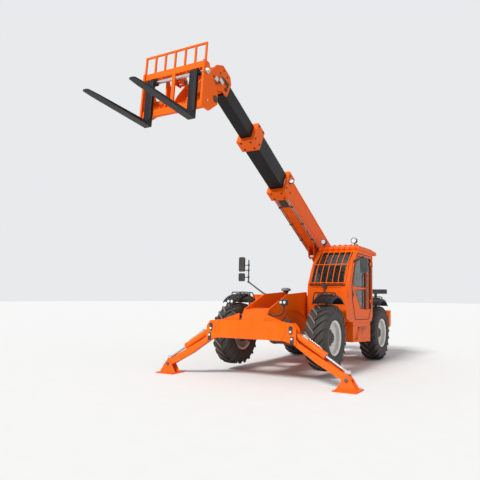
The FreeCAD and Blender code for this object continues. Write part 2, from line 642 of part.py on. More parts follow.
def head():
    cheek = (
        ("inner_front - 50", "outer_lift - inner_height / 2"),
        ("inner_front - 50", "outer_lift + inner_height / 2 + 20"),
        ("inner_front + 40", "outer_lift + inner_height / 2 + head_rise"),
        ("inner_front + 290", "outer_lift + inner_height / 2 + head_rise"),
        ("inner_front + 430", "outer_lift + 100"),
        ("head_pin_u + 20", "head_pin_w + 480"),
        ("head_pin_u + 100", "head_pin_w + 60"),
        ("head_pin_u + 100", "head_pin_w - 40"),
        ("head_pin_u + 40", "head_pin_w - 100"),
        ("head_pin_u - 40", "head_pin_w - 100"),
        ("head_pin_u - 110", "head_pin_w + 120"),
        ("inner_front + 250", "outer_lift - inner_height / 2 - 150"),
        ("inner_front + 90", "outer_lift - inner_height / 2 - 20"),
    )
    pieces = []
    for tag, side in SIDES:
        start = "inner_width / 2" if side > 0 else "-inner_width / 2 - head_wall"
        whole = plate("head_cheek_" + tag, "XZ", start, "head_wall", cheek)
        boss_y = "inner_width / 2 + head_wall" if side > 0 else "-inner_width / 2 - head_wall - 20"
        boss = rod("head_boss_" + tag, "Y", "head_pin_u", boss_y, "head_pin_w", "carriage_tube + 32", 20)
        bore = rod("head_bore_" + tag, "Y", "head_pin_u", "-inner_width", "head_pin_w", "carriage_tube + run_gap", "2 * inner_width")
        pieces.append(cut("head_side_" + tag, fuse("head_side_whole_" + tag, whole, boss), bore))
    top = "outer_lift + inner_height / 2 + head_rise"
    pieces.append(box("head_top", "inner_front + 20", "-inner_width / 2", top + " - 40", 260, "inner_width", 20))
    pieces.append(plate("head_brow", "XZ", "-inner_width / 2", "inner_width", (
        ("inner_front + 278", top + " - 40"), ("inner_front + 290", top + " - 22"),
        ("inner_front + 420", "outer_lift + 80"), ("inner_front + 405", "outer_lift + 70"),
    )))
    pieces.append(plate("head_throat", "XZ", "-inner_width / 2", "inner_width", (
        ("inner_front + 350", "head_pin_w + 420"), ("inner_front + 365", "head_pin_w + 430"),
        ("head_pin_u - 130", "head_pin_w + 190"), ("head_pin_u - 145", "head_pin_w + 180"),
    )))
    pieces.append(rod("tilt_base_pin", "Y", "tilt_base_u", "-inner_width / 2 - head_wall", "tilt_base_w", 25, "inner_width + 2 * head_wall"))
    keep("boom_head", fuse("boom_head_shape", *pieces), BOOM)


def carriage():
    side_outline = (
        ("carriage_front", "-carriage_low"),
        ("carriage_front", "carriage_top"),
        ("carriage_front - 120", "carriage_top"),
        ("carriage_front - 170", "carriage_top - 100"),
        ("-carriage_tube", "carriage_tube + 20"),
        ("-carriage_tube - 10", "-carriage_tube"),
        ("carriage_front - 200", "-carriage_low"),
    )
    pieces = []
    for tag, side in SIDES:
        start = "carriage_half - carriage_side" if side > 0 else "-carriage_half"
        pieces.append(plate("carriage_side_" + tag, "XZ", start, "carriage_side", side_outline))
        ear = plate("tilt_ear_" + tag, "XZ", "48" if side > 0 else "-66", 18, (
            ("tilt_eye_x - 45", "tilt_eye_z - 45"), ("bar_face - 60", "tilt_eye_z - 60"), ("bar_face - 60", "carriage_top"),
            ("tilt_eye_x + 60", "carriage_top"), ("tilt_eye_x - 45", "tilt_eye_z + 45"),
        ))
        pieces.append(ear)
    bar_length = "2 * (carriage_half - carriage_side)"
    start = "-carriage_half + carriage_side"
    pieces.append(rod("carriage_hinge_tube", "Y", 0, start, 0, "carriage_tube", bar_length))
    pieces.append(box("carriage_top_bar", "bar_face - 70", start, "carriage_top - bar_high", 70, bar_length, "bar_high"))
    pieces.append(box("carriage_low_bar", "bar_face - 70", start, "-carriage_low", 70, bar_length, "bar_high"))
    pieces.append(box("carriage_post", "bar_face - 30", -28, "-carriage_low", 30, 56, "carriage_top + carriage_low"))
    pieces.append(rod("fork_shaft", "Y", "shaft_x", "-carriage_half - 25", "shaft_z", "shaft_radius", "2 * (carriage_half + 25)"))
    rail = "bar_face - rest_bar"
    pieces.append(box("rest_top_bar", rail, "-carriage_half", "rest_top - rest_bar", "rest_bar", "2 * carriage_half", "rest_bar"))
    for k in range(7):
        place = "-carriage_half + %d * (2 * carriage_half - rest_bar) / 6" % k
        pieces.append(box("rest_upright_%d" % k, rail, place, "carriage_top - 5", "rest_bar", "rest_bar", "rest_top - carriage_top"))
    keep("carriage", fuse("carriage_shape", *pieces), CARRIAGE)


def forks():
    for tag, side in SIDES:
        start = "fork_y - fork_width / 2" if side > 0 else "-fork_y - fork_width / 2"
        low = "-carriage_low - fork_drop"
        back = "bar_face + seat_gap"
        body = plate("fork_body_" + tag, "XZ", start, "fork_width", (
            (back, low), (back + " + fork_reach", low + " + 30"), (back + " + fork_reach", low + " + 44"),
            (back + " + fork_thick + 60", low + " + fork_thick"), (back + " + fork_thick", low + " + fork_thick + 60"),
            (back + " + fork_thick", "shaft_z - 20"), (back, "shaft_z - 20"),
        ))
        eye = rod("fork_eye_" + tag, "Y", "shaft_x", start, "shaft_z", "shaft_radius + 22", "fork_width")
        hook = box("fork_hook_" + tag, "shaft_x", start, "shaft_z - shaft_radius - 22", "bar_face + seat_gap + fork_thick - shaft_x", "fork_width", 60)
        bore = rod("fork_bore_" + tag, "Y", "shaft_x", start + " - 5", "shaft_z", "shaft_radius + run_gap", "fork_width + 10")
        keep("fork_" + tag, cut("fork_shape_" + tag, fuse("fork_whole_" + tag, body, eye, hook), bore), CARRIAGE)


def cylinders():
    base = V(size("lift_base_x"), 0, size("lift_base_z"))
    eye = MACHINE.inverse().multVec(BOOM.multVec(V(size("lift_eye_u"), 0, size("lift_eye_w"))))
    ram("", "lift", MACHINE, base, eye, V(0, 1, 0), 80, 45, 30, 94, 0.72, "lift_closing")
    base = MACHINE.inverse().multVec(BOOM.multVec(V(size("tilt_base_u"), 0, size("tilt_base_w"))))
    eye = MACHINE.inverse().multVec(CARRIAGE.multVec(V(size("tilt_eye_x"), 0, size("tilt_eye_z"))))
    ram("", "tilt", MACHINE, base, eye, V(0, 1, 0), 52, 28, 25, 90, 0.74, "tilt_closing")


def inset(points, wall):
    """The outline moved inwards by a wall, as numbers."""
    spots = [V(size(a), size(b), 0) for a, b in points]
    count = len(spots)
    centre = sum(spots, V()) * (1.0 / count)
    moved = []
    for k in range(count):
        before, here, after = spots[k - 1], spots[k], spots[(k + 1) % count]
        lines = []
        for start, end in ((before, here), (here, after)):
            along = (end - start).normalize()
            normal = V(-along.y, along.x, 0)
            if normal.dot(centre - start) < 0:
                normal = -normal
            lines.append((start + normal * wall, along))
        (p, d), (q, e) = lines
        cross = d.x * e.y - d.y * e.x
        reach = ((q.x - p.x) * e.y - (q.y - p.y) * e.x) / cross
        spot = p + d * reach
        moved.append((spot.x, spot.y))
    return moved


HINGE_HEIGHTS = (1320, 2150)
CAB_OUTLINE = (
    ("cab_rear + 95", "cab_floor"),
    ("cab_front - 245", "cab_floor"),
    ("cab_front", "cab_floor + 85"),
    ("cab_front - 30", "1650"),
    ("cab_front - 265", "2065"),
    ("cab_front - 695", "cab_top"),
    ("cab_rear", "cab_top"),
    ("cab_rear", "cab_floor + 105"),
)
SCREEN = (
    ("cab_front - 145", "1680"),
    ("cab_front + 105", "1680"),
    ("cab_front + 105", "2200"),
    ("cab_front - 535", "2483"),
    ("cab_front - 707", "2274"),
    ("cab_front - 355", "2000"),
)
RIGHT_WINDOW = (
    ("cab_rear + 95", "1500"),
    ("cab_front - 215", "1500"),
    ("cab_front - 175", "1680"),
    ("cab_front - 405", "2080"),
    ("cab_front - 695", "2320"),
    ("cab_rear + 95", "2320"),
)
DOOR_WINDOWS = (
    (
        ("cab_rear + 515", "1640"),
        ("cab_front - 435", "1640"),
        ("cab_front - 395", "1700"),
        ("cab_front - 515", "2030"),
        ("cab_front - 745", "cab_top - 130"),
        ("cab_rear + 515", "cab_top - 130"),
    ),
    (
        ("cab_rear + 515", "1180"),
        ("cab_front - 895", "1180"),
        ("cab_front - 515", "1560"),
        ("cab_rear + 515", "1600"),
    ),
    (
        ("cab_rear + 155", "1180"),
        ("cab_rear + 455", "1180"),
        ("cab_rear + 455", "cab_top - 130"),
        ("cab_rear + 155", "cab_top - 130"),
    ),
)
DOOR_OUTLINE = (
    ("cab_rear + 295", "cab_floor + 45"),
    ("cab_front - 535", "cab_floor + 45"),
    ("cab_front - 365", "1350"),
    ("cab_front - 325", "1650"),
    ("cab_front - 465", "2040"),
    ("cab_front - 695", "cab_top - 70"),
    ("cab_rear + 95", "cab_top - 70"),
    ("cab_rear + 95", "1250"),
)


def cab():
    wall = size("cab_wall")
    outer = plate("cab_outer_form", "XZ", "cab_inner", "cab_outer - cab_inner", CAB_OUTLINE)
    room = plate("cab_room", "XZ", "cab_inner + cab_wall", "cab_outer - cab_inner - 2 * cab_wall", inset(CAB_OUTLINE, wall))
    doorway = plate("cab_doorway", "XZ", "cab_outer - cab_wall - 10", "cab_wall + 20", DOOR_OUTLINE)
    screen = plate("cab_screen_cut", "XZ", "cab_inner + 75", "cab_outer - cab_inner - 150", SCREEN)
    side = plate("cab_right_cut", "XZ", "cab_inner - 10", "cab_wall + 20", RIGHT_WINDOW)
    rear = box("cab_rear_cut", "cab_rear - 60", "cab_inner + 100", 1450, 150, "cab_outer - cab_inner - 200", 850)
    shell = cut("cab_shell_form", outer, room, doorway, screen, side, rear)
    hinges = []
    for k, z in enumerate(HINGE_HEIGHTS):
        hinges.append(rod("cab_hinge_pin_%d" % k, "Z", "door_hinge_x", "door_hinge_y", z - 20, "hinge_pin", 80))
        hinges.append(box("cab_hinge_low_%d" % k, "door_hinge_x - 14", "cab_outer", z - 22, 26, "door_hinge_y - cab_outer + 9", 21))
    keep("cab_shell", fuse("cab_shell_shape", shell, *hinges), MACHINE)
    roof = plate("cab_roof_shape", "XZ", "cab_inner - 15", "cab_outer - cab_inner + 30", (
        ("cab_front - 695", "cab_top"), ("cab_front - 670", "cab_top + 30"), ("cab_front - 735", "roof_top"),
        ("cab_rear + 235", "roof_top"), ("cab_rear - 235", "roof_top - 40"), ("cab_rear - 250", "cab_top - 20"),
        ("cab_rear - 105", "cab_top - 20"), ("cab_rear - 1", "cab_top"),
    ))
    keep("cab_roof", roof, MACHINE)
    leaf = inset(DOOR_OUTLINE, 6)
    door = plate("door_form", "XZ", "cab_outer - cab_wall", "cab_wall", leaf)
    windows = [plate("door_cut_%d" % k, "XZ", "cab_outer - cab_wall - 10", "cab_wall + 20", points) for k, points in enumerate(DOOR_WINDOWS)]
    leaf = cut("door_leaf", door, *windows)
    knuckles = []
    for k, z in enumerate(HINGE_HEIGHTS):
        strap = box("door_strap_%d" % k, "door_hinge_x", "cab_outer", z, 150, 8, 60)
        eye = rod("door_eye_%d" % k, "Z", "door_hinge_x", "door_hinge_y", z, "hinge_pin + 7", 60)
        bore = rod("door_eye_bore_%d" % k, "Z", "door_hinge_x", "door_hinge_y", z - 5, "hinge_pin + run_gap", 70)
        knuckles.append(cut("door_knuckle_%d" % k, fuse("door_hinge_%d" % k, strap, eye), bore))
    keep("door", fuse("door_shape", leaf, *knuckles), MACHINE)
    panes = [plate("door_pane_%d" % k, "XZ", "cab_outer - cab_wall / 2 - 3", 6, inset(points, size("seat_gap"))) for k, points in enumerate(DOOR_WINDOWS)]
    keep("door_glass", fuse("door_glass_shape", *panes), MACHINE)
    outside = plate("screen_outside", "XZ", "cab_inner + 75 + seat_gap", "cab_outer - cab_inner - 150 - 2 * seat_gap", inset(CAB_OUTLINE, wall / 2 - 3))
    inside = plate("screen_inside", "XZ", "cab_inner + 70", "cab_outer - cab_inner - 140", inset(CAB_OUTLINE, wall / 2 + 3))
    zone = plate("screen_zone", "XZ", "cab_inner + 70", "cab_outer - cab_inner - 140", inset(SCREEN, size("seat_gap")))
    front = overlap("windscreen", cut("screen_sheet", outside, inside), zone)
    right = plate("right_pane", "XZ", "cab_inner + cab_wall / 2 - 3", 6, inset(RIGHT_WINDOW, size("seat_gap")))
    back = box("rear_pane", "cab_rear + cab_wall / 2 - 3", "cab_inner + 100 + seat_gap", "1450 + seat_gap", 6, "cab_outer - cab_inner - 200 - 2 * seat_gap", "850 - 2 * seat_gap")
    keep("cab_glass", fuse("cab_glass_shape", front, right, back), MACHINE)
    seat = plate("seat_form", "XZ", "cab_middle - 240", 480, (
        ("cab_rear + 135", "seat_height + seat_gap"), ("cab_rear + 665", "seat_height + seat_gap"),
        ("cab_rear + 685", "seat_height + 100"), ("cab_rear + 295", "seat_height + 120"),
        ("cab_rear + 235", "seat_height + 660"), ("cab_rear + 135", "seat_height + 670"),
    ))
    keep("seat", seat, MACHINE)
    base = plate("seat_base_form", "XZ", "cab_middle - 160", 320, (
        ("cab_rear + 195", "cab_floor + cab_wall"), ("cab_rear + 595", "cab_floor + cab_wall"),
        ("cab_rear + 565", "seat_height"), ("cab_rear + 225", "seat_height"),
    ))
    keep("seat_base", base, MACHINE)
    column = plate("column_form", "XZ", "cab_middle - 60", 120, (
        ("cab_front - 495", "cab_floor + cab_wall"), ("cab_front - 315", "cab_floor + cab_wall"),
        ("cab_front - 595", "1620"), ("cab_front - 675", "1600"),
    ))
    wheel = rod("steering_wheel_form", "Z", "cab_front - 635", "cab_middle", 1595, 190, 30, TURN(V(0, 1, 0), -22))
    keep("steering_column", fuse("steering_column_shape", column, wheel), MACHINE)


def screen_guard():
    """Bars before the windscreen, bent over the roof's front edge."""
    pieces = []
    path = (
        ("cab_front", "1650"), ("cab_front + 12", "1650"), ("cab_front + 5", "1700"), ("cab_front - 223", "2098"),
        ("cab_front - 655", "2520"), ("cab_front - 835", "2560"), ("cab_front - 835", "roof_top"),
        ("cab_front - 815", "roof_top"), ("cab_front - 815", "2545"), ("cab_front - 661", "2508"),
        ("cab_front - 233", "2092"), ("cab_front - 7", "1694"),
    )
    for k in range(7):
        place = "cab_inner + 40 + %d * (cab_outer - cab_inner - 94) / 6" % k
        pieces.append(plate("guard_bar_%d" % k, "XZ", place, 14, path))
    pieces.append(rod("guard_cross_low", "Y", "cab_front - 3", "cab_inner + 30", 1690, 9, "cab_outer - cab_inner - 60"))
    pieces.append(rod("guard_cross_mid", "Y", "cab_front - 225", "cab_inner + 30", 2092, 9, "cab_outer - cab_inner - 60"))
    pieces.append(rod("guard_cross_top", "Y", "cab_front - 825", "cab_inner + 30", 2535, 9, "cab_outer - cab_inner - 60"))
    for tag, y in (("left", "cab_outer - 60"), ("right", "cab_inner + 40")):
        pieces.append(box("guard_foot_" + tag, "cab_front - 31", y, 1660, 32, 20, 40))
    keep("screen_guard", fuse("screen_guard_shape", *pieces), MACHINE)
    lamps = []
    for tag, y in (("left", "cab_outer - 85"), ("right", "cab_inner + 73")):
        lamps.append(rod("roof_lamp_" + tag, "X", "cab_front - 755", y, "roof_top + 108", 62, 70))
        lamps.append(box("roof_lamp_foot_" + tag, "cab_front - 765", y + " - 10", "roof_top", 20, 20, 60))
    keep("roof_lamps", fuse("roof_lamps_shape", *lamps), MACHINE)


def body_panels():
    tank = plate("side_box_form", "XZ", 640, "cab_outer - 660", (
        ("wheel_room", "460"), ("hood_front - 360", "490"), ("hood_front - 360", "cab_floor - 45"), ("wheel_room", "cab_floor - 45"),
    ))
    keep("side_box", tank, MACHINE)
    hood = plate("hood_form", "YZ", "wheel_room", "hood_front - wheel_room", (
        ("-1140", "460"), ("-plate_y - plate_wall", "460"), ("-plate_y - plate_wall", "1440"), ("-1000", "1440"), ("-1140", "1320"),
    ))
    room = plate("hood_room", "YZ", "wheel_room + 20", "hood_front - wheel_room - 40", (
        ("-1125", "440"), ("-plate_y", "440"), ("-plate_y", "1425"), ("-1006", "1425"), ("-1125", "1313"),
    ))
    keep("engine_hood", cut("engine_hood_shape", hood, room), MACHINE)
    block = plate("engine_block_form", "YZ", 1020, 760, (
        ("-930", "520"), ("-370", "520"), ("-370", "1140"), ("-800", "1140"), ("-930", "1000"),
    ))
    keep("engine_block", block, MACHINE)
    stem = rod("cleaner_stem", "Z", 1540, -600, 1440, 45, 110)
    cap = rod("cleaner_cap", "Z", 1540, -600, 1545, 112, 75)
    keep("pre_cleaner", fuse("pre_cleaner_shape", stem, cap), MACHINE)
    weight = plate("counterweight_form", "YZ", "frame_rear - 180", 180, (
        ("-900", "620"), ("900", "620"), ("1020", "760"), ("1020", "frame_deck"), ("-1020", "frame_deck"), ("-1020", "760"),
    ))
    tongue = box("tow_tongue", "frame_rear - 280", -70, 660, 110, 140, "tow_plate")
    hole = rod("tow_hole", "Z", "frame_rear - 235", 0, 650, "tow_hole_radius", "tow_plate + 20")
    keep("counterweight", cut("counterweight_shape", fuse("counterweight_whole", weight, tongue), hole), MACHINE)
    bar = box("light_bar_form", "frame_rear - 60", -960, 1570, 80, 1920, 115)
    posts = [box("light_post_" + tag, "frame_rear - 60", y, "frame_deck", 60, 60, 430) for tag, y in (("left", 640), ("right", -700))]
    keep("rear_light_bar", fuse("rear_light_bar_shape", bar, *posts), MACHINE)


def mirrors():
    foot = box("mirror_foot", "wheelbase + 80", "-plate_y - plate_wall - 20", 1380, 60, 20, 70)
    reach = strut("mirror_reach", ("wheelbase + 110", "-plate_y - plate_wall - 12", 1420), ("mirror_x", "-mirror_y", 1700), 16)
    post = strut("mirror_post", ("mirror_x", "-mirror_y", 1690), ("mirror_x", "-mirror_y", 2175), 14)
    tall = box("mirror_tall", "mirror_x - 25", "-mirror_y - 240", 1920, 50, 140, 320)
    small = box("mirror_small", "mirror_x - 25", "-mirror_y - 240", 1710, 50, 140, 180)
    stays = [strut("mirror_stay_%d" % k, ("mirror_x", "-mirror_y - 110", z), ("mirror_x", "-mirror_y", z), 10)
             for k, z in enumerate((2060, 1950, 1800))]
    keep("right_mirrors", fuse("right_mirrors_shape", foot, reach, post, tall, small, *stays), MACHINE)
    pad = box("left_mirror_pad", "cab_front - 505", "cab_outer", 2130, 60, 24, 60)
    elbow = ("cab_front - 155", "cab_outer + 300", 2230)
    arm = strut("left_mirror_arm", ("cab_front - 475", "cab_outer + 12", 2160), elbow, 12)
    drop = strut("left_mirror_drop", elbow, ("cab_front - 155", "cab_outer + 300", 2190), 12)
    glass = box("left_mirror_head", "cab_front - 180", "cab_outer + 235", 1895, 50, 150, 300)
    keep("left_mirror", fuse("left_mirror_shape", pad, arm, drop, glass), MACHINE)


def build():
    wheels()
    knuckles()
    fenders()
    axles()
    main_frame()
    nose()
    stabiliser_beam()
    stabilisers()
    boom()
    carriage()
    forks()
    cylinders()
    cab()
    screen_guard()
    body_panels()
    mirrors()


def finish():
    """Places every piece, checks it and writes its file."""
    doc.recompute()
    for name, solid, frame in NODES:
        solid.Placement = frame * solid.Placement
    doc.recompute()
    for thing in doc.Objects:
        if "Invalid" in thing.State or "Error" in thing.State:
            raise RuntimeError("%s failed: %s" % (thing.Label, thing.State))
    os.makedirs("parts", exist_ok=True)
    for name, solid, frame in NODES:
        shape = solid.Shape
        if shape.isNull() or not shape.isValid() or not shape.Solids:
            raise RuntimeError(name + " has no valid shape")
        shape.exportStep(os.path.join("parts", name + ".step"))


build()
finish()
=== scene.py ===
import math

import bmesh
import bpy
from mathutils import Matrix, Vector, geometry


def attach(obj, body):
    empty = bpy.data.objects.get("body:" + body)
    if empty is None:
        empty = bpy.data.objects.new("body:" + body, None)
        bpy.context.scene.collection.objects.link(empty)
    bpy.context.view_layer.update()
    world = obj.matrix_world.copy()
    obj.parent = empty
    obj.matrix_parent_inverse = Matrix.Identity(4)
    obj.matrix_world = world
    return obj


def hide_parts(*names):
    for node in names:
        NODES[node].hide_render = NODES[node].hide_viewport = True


bl_info = {
    "name": "Telehandler",
    "version": (1, 0, 0),
    "blender": (4, 5, 0),
    "location": "View3D > Sidebar > Telehandler",
    "description": "Finishes and fine details of a telehandler with front stabilisers",
    "category": "Object",
}

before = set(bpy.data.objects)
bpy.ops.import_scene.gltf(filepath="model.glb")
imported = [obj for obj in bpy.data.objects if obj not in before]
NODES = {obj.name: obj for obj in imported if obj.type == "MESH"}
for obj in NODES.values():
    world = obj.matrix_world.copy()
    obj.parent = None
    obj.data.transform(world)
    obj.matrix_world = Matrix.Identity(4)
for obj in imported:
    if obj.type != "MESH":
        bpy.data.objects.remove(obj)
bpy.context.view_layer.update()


def moved(x, y, z):
    return Matrix.Translation((x, y, z))


def turned(axis, degrees):
    return Matrix.Rotation(math.radians(degrees), 4, axis)


# Frames of the bodies at rest, and the machine's own sizes in metres
MACHINE = moved(-3.219, 0, 0.625) @ turned("Y", -2.0) @ moved(0, 0, -0.625)
BOOM = MACHINE @ moved(-0.56, 0, 1.7) @ turned("Y", -27.2)
CARRIAGE = BOOM @ moved(7.323, 0, -0.967) @ turned("Y", 23.0)
WHEELBASE = 3.07
HALF_TRACK = 0.9875
AXLE_HEIGHT = 0.625
CORNERS = {"front_left": (WHEELBASE, 1), "front_right": (WHEELBASE, -1), "rear_left": (0.0, 1), "rear_right": (0.0, -1)}
SIDES = {"left": 1, "right": -1}
CAB_FRONT = 2.395
BEAM_FRONT = WHEELBASE + 1.190
LAMP_FRONT = WHEELBASE + 0.970
DOOR_FACE = 1.1505
# Pins of a leg: distance from the middle and height
LEG_X = 4.175
LEG_PIN, FOOT_PIN, CYLINDER_PIN = (0.845, 0.64), (1.812, 0.0367), (0.820, 0.760)
# Boom sections: middle above the hinge line; collars with body, front end, width and height
SECTION_LIFT = 0.04
COLLARS = (("boom_outer", 4.255, 0.402, 0.512), ("boom_mid", 5.680, 0.358, 0.412))
MID_COLLAR_START = 5.408
SHAFT_X, SHAFT_Z, SHAFT_RADIUS = 0.262, 0.318, 0.0295
CARRIAGE_SIDE = 0.569
HEAD_SIDE = 0.130
FORK_TIP, FORK_MIDDLE = 1.570, 0.400


def hub_frame(corner):
    """Hub of a wheel, X forward and Y to the machine's left."""
    x, side = CORNERS[corner]
    return MACHINE @ moved(x, side * HALF_TRACK, AXLE_HEIGHT)


def frame_along(base, along, across):
    turn = Matrix((along, across, along.cross(across))).transposed().to_4x4()
    return Matrix.Translation(base) @ turn


def leg_cylinder(side):
    """Frame of a leg's cylinder, X from its pin to the rod's eye, and its length."""
    hinge, foot, base = (Vector((LEG_X, side * y, z)) for y, z in (LEG_PIN, FOOT_PIN, CYLINDER_PIN))
    reach, across = foot - hinge, Vector((-side, 0, 0))
    leg = MACHINE @ frame_along(hinge, reach.normalized(), across)
    base = MACHINE @ base
    along = leg @ Vector((reach.length - 0.060, 0, 0.095)) - base
    across = (MACHINE.to_3x3() @ across).normalized()
    return frame_along(base, along.normalized(), across), along.length


def circle(radius, count, start=0):
    """Places spread evenly on a circle."""
    turns = (math.radians(start + 360 * k / count) for k in range(count))
    return [(radius * math.cos(turn), radius * math.sin(turn)) for turn in turns]


def linear(red, green, blue):
    """A screen colour of 0 to 255 as the renderer's linear colour."""
    return tuple((c / 255 / 12.92) if c / 255 <= 0.04045 else ((c / 255 + 0.055) / 1.055) ** 2.4
                 for c in (red, green, blue))


def colour(name, description, *rgb):
    return bpy.props.FloatVectorProperty(name=name, description=description, subtype="COLOR", size=3,
                                         min=0, max=1, default=linear(*rgb))


def share(name, description, default):
    return bpy.props.FloatProperty(name=name, description=description, subtype="FACTOR", min=0, max=1,
                                   default=default)


def length(name, description, low, high, default):
    return bpy.props.FloatProperty(name=name, description=description, unit="LENGTH", min=low, max=high,
                                   default=default)


class TelehandlerColours(bpy.types.PropertyGroup):
    body: colour("Body paint", "Paint of the chassis, cab and boom", 242, 97, 4)
    sections: colour("Boom sections", "Paint of the middle and inner boom sections", 27, 24, 27)
    black: colour("Black paint", "Mudguards, brackets and forks", 24, 24, 26)
    rims: colour("Rims", "Paint of the wheels", 222, 220, 216)
    rubber: colour("Tyres", "Rubber of the tyres", 50, 46, 44)
    glass: colour("Window tint", "Tint of the cab's windows", 112, 140, 138)
    cloth: colour("Seat cloth", "Cover of the driver's seat", 48, 50, 56)
    floor: colour("Floor", "Pale floor under the machine", 226, 226, 224)
    dust: share("Dust", "Dust on the low parts", 0.45)
    wear: share("Wear", "Fine chips in the paint", 0.35)


class TelehandlerSizes(bpy.types.PropertyGroup):
    lug_count: bpy.props.IntProperty(
        name="Lugs", description="Lugs on each half of a tread", min=12, max=40, default=21)
    lug_height: length("Lug height", "Height of a lug above the tread", 0.01, 0.06, 0.038)
    bolt_across: length("Bolt heads", "Width across a bolt's head", 0.01, 0.06, 0.028)
    pipe_radius: length("Pipes", "Radius of the boom's hydraulic pipes", 0.004, 0.03, 0.011)
    wheel_grip: length("Steering wheel", "Radius of the steering wheel's rim", 0.1, 0.25, 0.175)


# Shapes
class Shape:
    """A mesh that grows from simple forms and ends as a piece of the machine."""

    def __init__(self):
        self.bm = bmesh.new()

    def everything(self):
        return self.bm.verts[:] + self.bm.edges[:] + self.bm.faces[:]

    def block(self, low, high, radius=0.0, axes="XYZ", segments=5):
        """A block between two corners; its edges along the axes may be rounded."""
        low, high = Vector(low), Vector(high)
        made = bmesh.ops.create_cube(self.bm, size=1.0)["verts"]
        bmesh.ops.scale(self.bm, vec=high - low, verts=made)
        bmesh.ops.translate(self.bm, vec=(low + high) / 2, verts=made)
        if radius:
            kept = ["XYZ".index(axis) for axis in axes]
            edges = dict.fromkeys(e for v in made for e in v.link_edges)
            edges = [e for e in edges if any(
                abs(e.verts[0].co[k] - e.verts[1].co[k]) > 0.9 * (high[k] - low[k]) for k in kept)]
            bmesh.ops.bevel(self.bm, geom=edges, offset=radius, offset_type="OFFSET", segments=segments,
                            profile=0.5, affect="EDGES", material=-1, clamp_overlap=True)
        return self

    def bar(self, start, end, radius, sides=16, end_radius=None):
        """A round bar or cone between two points."""
        start, end = Vector(start), Vector(end)
        along = end - start
        place = Matrix.Translation((start + end) / 2) @ along.to_track_quat("Z", "Y").to_matrix().to_4x4()
        bmesh.ops.create_cone(
            self.bm, cap_ends=True, cap_tris=False, segments=sides, radius1=radius,
            radius2=radius if end_radius is None else end_radius, depth=along.length, matrix=place)
        return self

    def disc(self, x, z, start, end, radius, sides=24, end_radius=None):
        """A round bar that lies across the machine, between two distances from the middle."""
        return self.bar((x, start, z), (x, end, z), radius, sides, end_radius)

    def bolt(self, spot, outward, across, height=0.014):
        """A hexagon head with its washer."""
        spot, outward = Vector(spot), Vector(outward)
        self.bar(spot - outward * 0.004, spot + outward * 0.003, across * 0.72, 16)
        return self.bar(spot, spot + outward * height, across * 0.577, 6)

    def bolts(self, y, spots, across, height=0.014):
        """Bolt heads that face outwards, at places in X and Z."""
        for x, z in spots:
            self.bolt((x, y, z), (0, 1, 0), across, height)
        return self

    def lathe(self, profile, steps=64, place=None, closed=False):
        """A profile of radius and Y, turned about the Y axis."""
        own = bmesh.new()
        spots = [own.verts.new((radius, y, 0)) for radius, y in list(profile) + list(profile[:closed])]
        edges = [own.edges.new(pair) for pair in zip(spots, spots[1:])]
        bmesh.ops.spin(own, geom=spots + edges, cent=(0, 0, 0), axis=(0, 1, 0), angle=2 * math.pi,
                       steps=steps, use_merge=True)
        bmesh.ops.remove_doubles(own, verts=own.verts, dist=0.00001)
        mesh = bpy.data.meshes.new("turned")
        own.to_mesh(mesh)
        own.free()
        return self.take(mesh, place)

    def take(self, mesh, place=None):
        """Joins a mesh to this one."""
        if place is not None:
            mesh.transform(place)
        self.bm.from_mesh(mesh)
        bpy.data.meshes.remove(mesh)
        return self

    def ring(self, radius, thickness, place, steps=64):
        """A round ring about the Y axis, such as a steering wheel's rim."""
        profile = [(radius + x, y) for x, y in circle(thickness, 12)]
        return self.lathe(profile, steps, place, closed=True)

    def push(self, face, way):
        """Extrudes a face along a vector."""
        pushed = bmesh.ops.extrude_face_region(self.bm, geom=[face])["geom"]
        bmesh.ops.translate(self.bm, vec=way, verts=[g for g in pushed if isinstance(g, bmesh.types.BMVert)])
        return self

    def plate(self, outline, start, thickness, axis=1):
        """An outline in the two other axes, made a plate along an axis."""
        spots = []
        for spot in outline:
            place = list(spot)
            place.insert(axis, start)
            spots.append(self.bm.verts.new(place))
        way = [0, 0, 0]
        way[axis] = thickness
        return self.push(self.bm.faces.new(spots), way)

    def sweep(self, outline, start, angle, steps):
        """A closed outline of radius and Y, swept about the Y axis from a start in degrees from upright."""
        spots = [self.bm.verts.new((0, y, radius)) for radius, y in outline]
        bmesh.ops.transform(self.bm, matrix=turned("Y", start), verts=spots)
        edges = [self.bm.edges.new(pair) for pair in zip(spots, spots[1:] + spots[:1])]
        last = bmesh.ops.spin(self.bm, geom=spots + edges, cent=(0, 0, 0), axis=(0, 1, 0),
                              angle=math.radians(angle), steps=steps, use_merge=False)["geom_last"]
        self.bm.faces.new(spots)
        self.bm.faces.new([v for v in last if isinstance(v, bmesh.types.BMVert)])
        return self

    def pipe(self, points, radius, smooth=True, ring=5, closed=False):
        """A pipe along points, with round or mitred bends."""
        data = bpy.data.curves.new("pipe", "CURVE")
        data.dimensions = "3D"
        data.bevel_depth = radius
        data.bevel_resolution = ring
        data.use_fill_caps = True
        data.resolution_u = 8
        line = data.splines.new("NURBS" if smooth else "POLY")
        line.points.add(len(points) - 1)
        for spot, point in zip(line.points, points):
            spot.co = (*point, 1)
        line.use_cyclic_u = closed
        if smooth:
            line.order_u = 3
            line.use_endpoint_u = True
        carrier = bpy.data.objects.new("pipe", data)
        self.take(bpy.data.meshes.new_from_object(carrier))
        bpy.data.objects.remove(carrier)
        bpy.data.curves.remove(data)
        return self

    def seal(self, points, radius):
        """A rubber profile around a window or a door."""
        return self.pipe(points, radius, smooth=False, ring=3, closed=True)

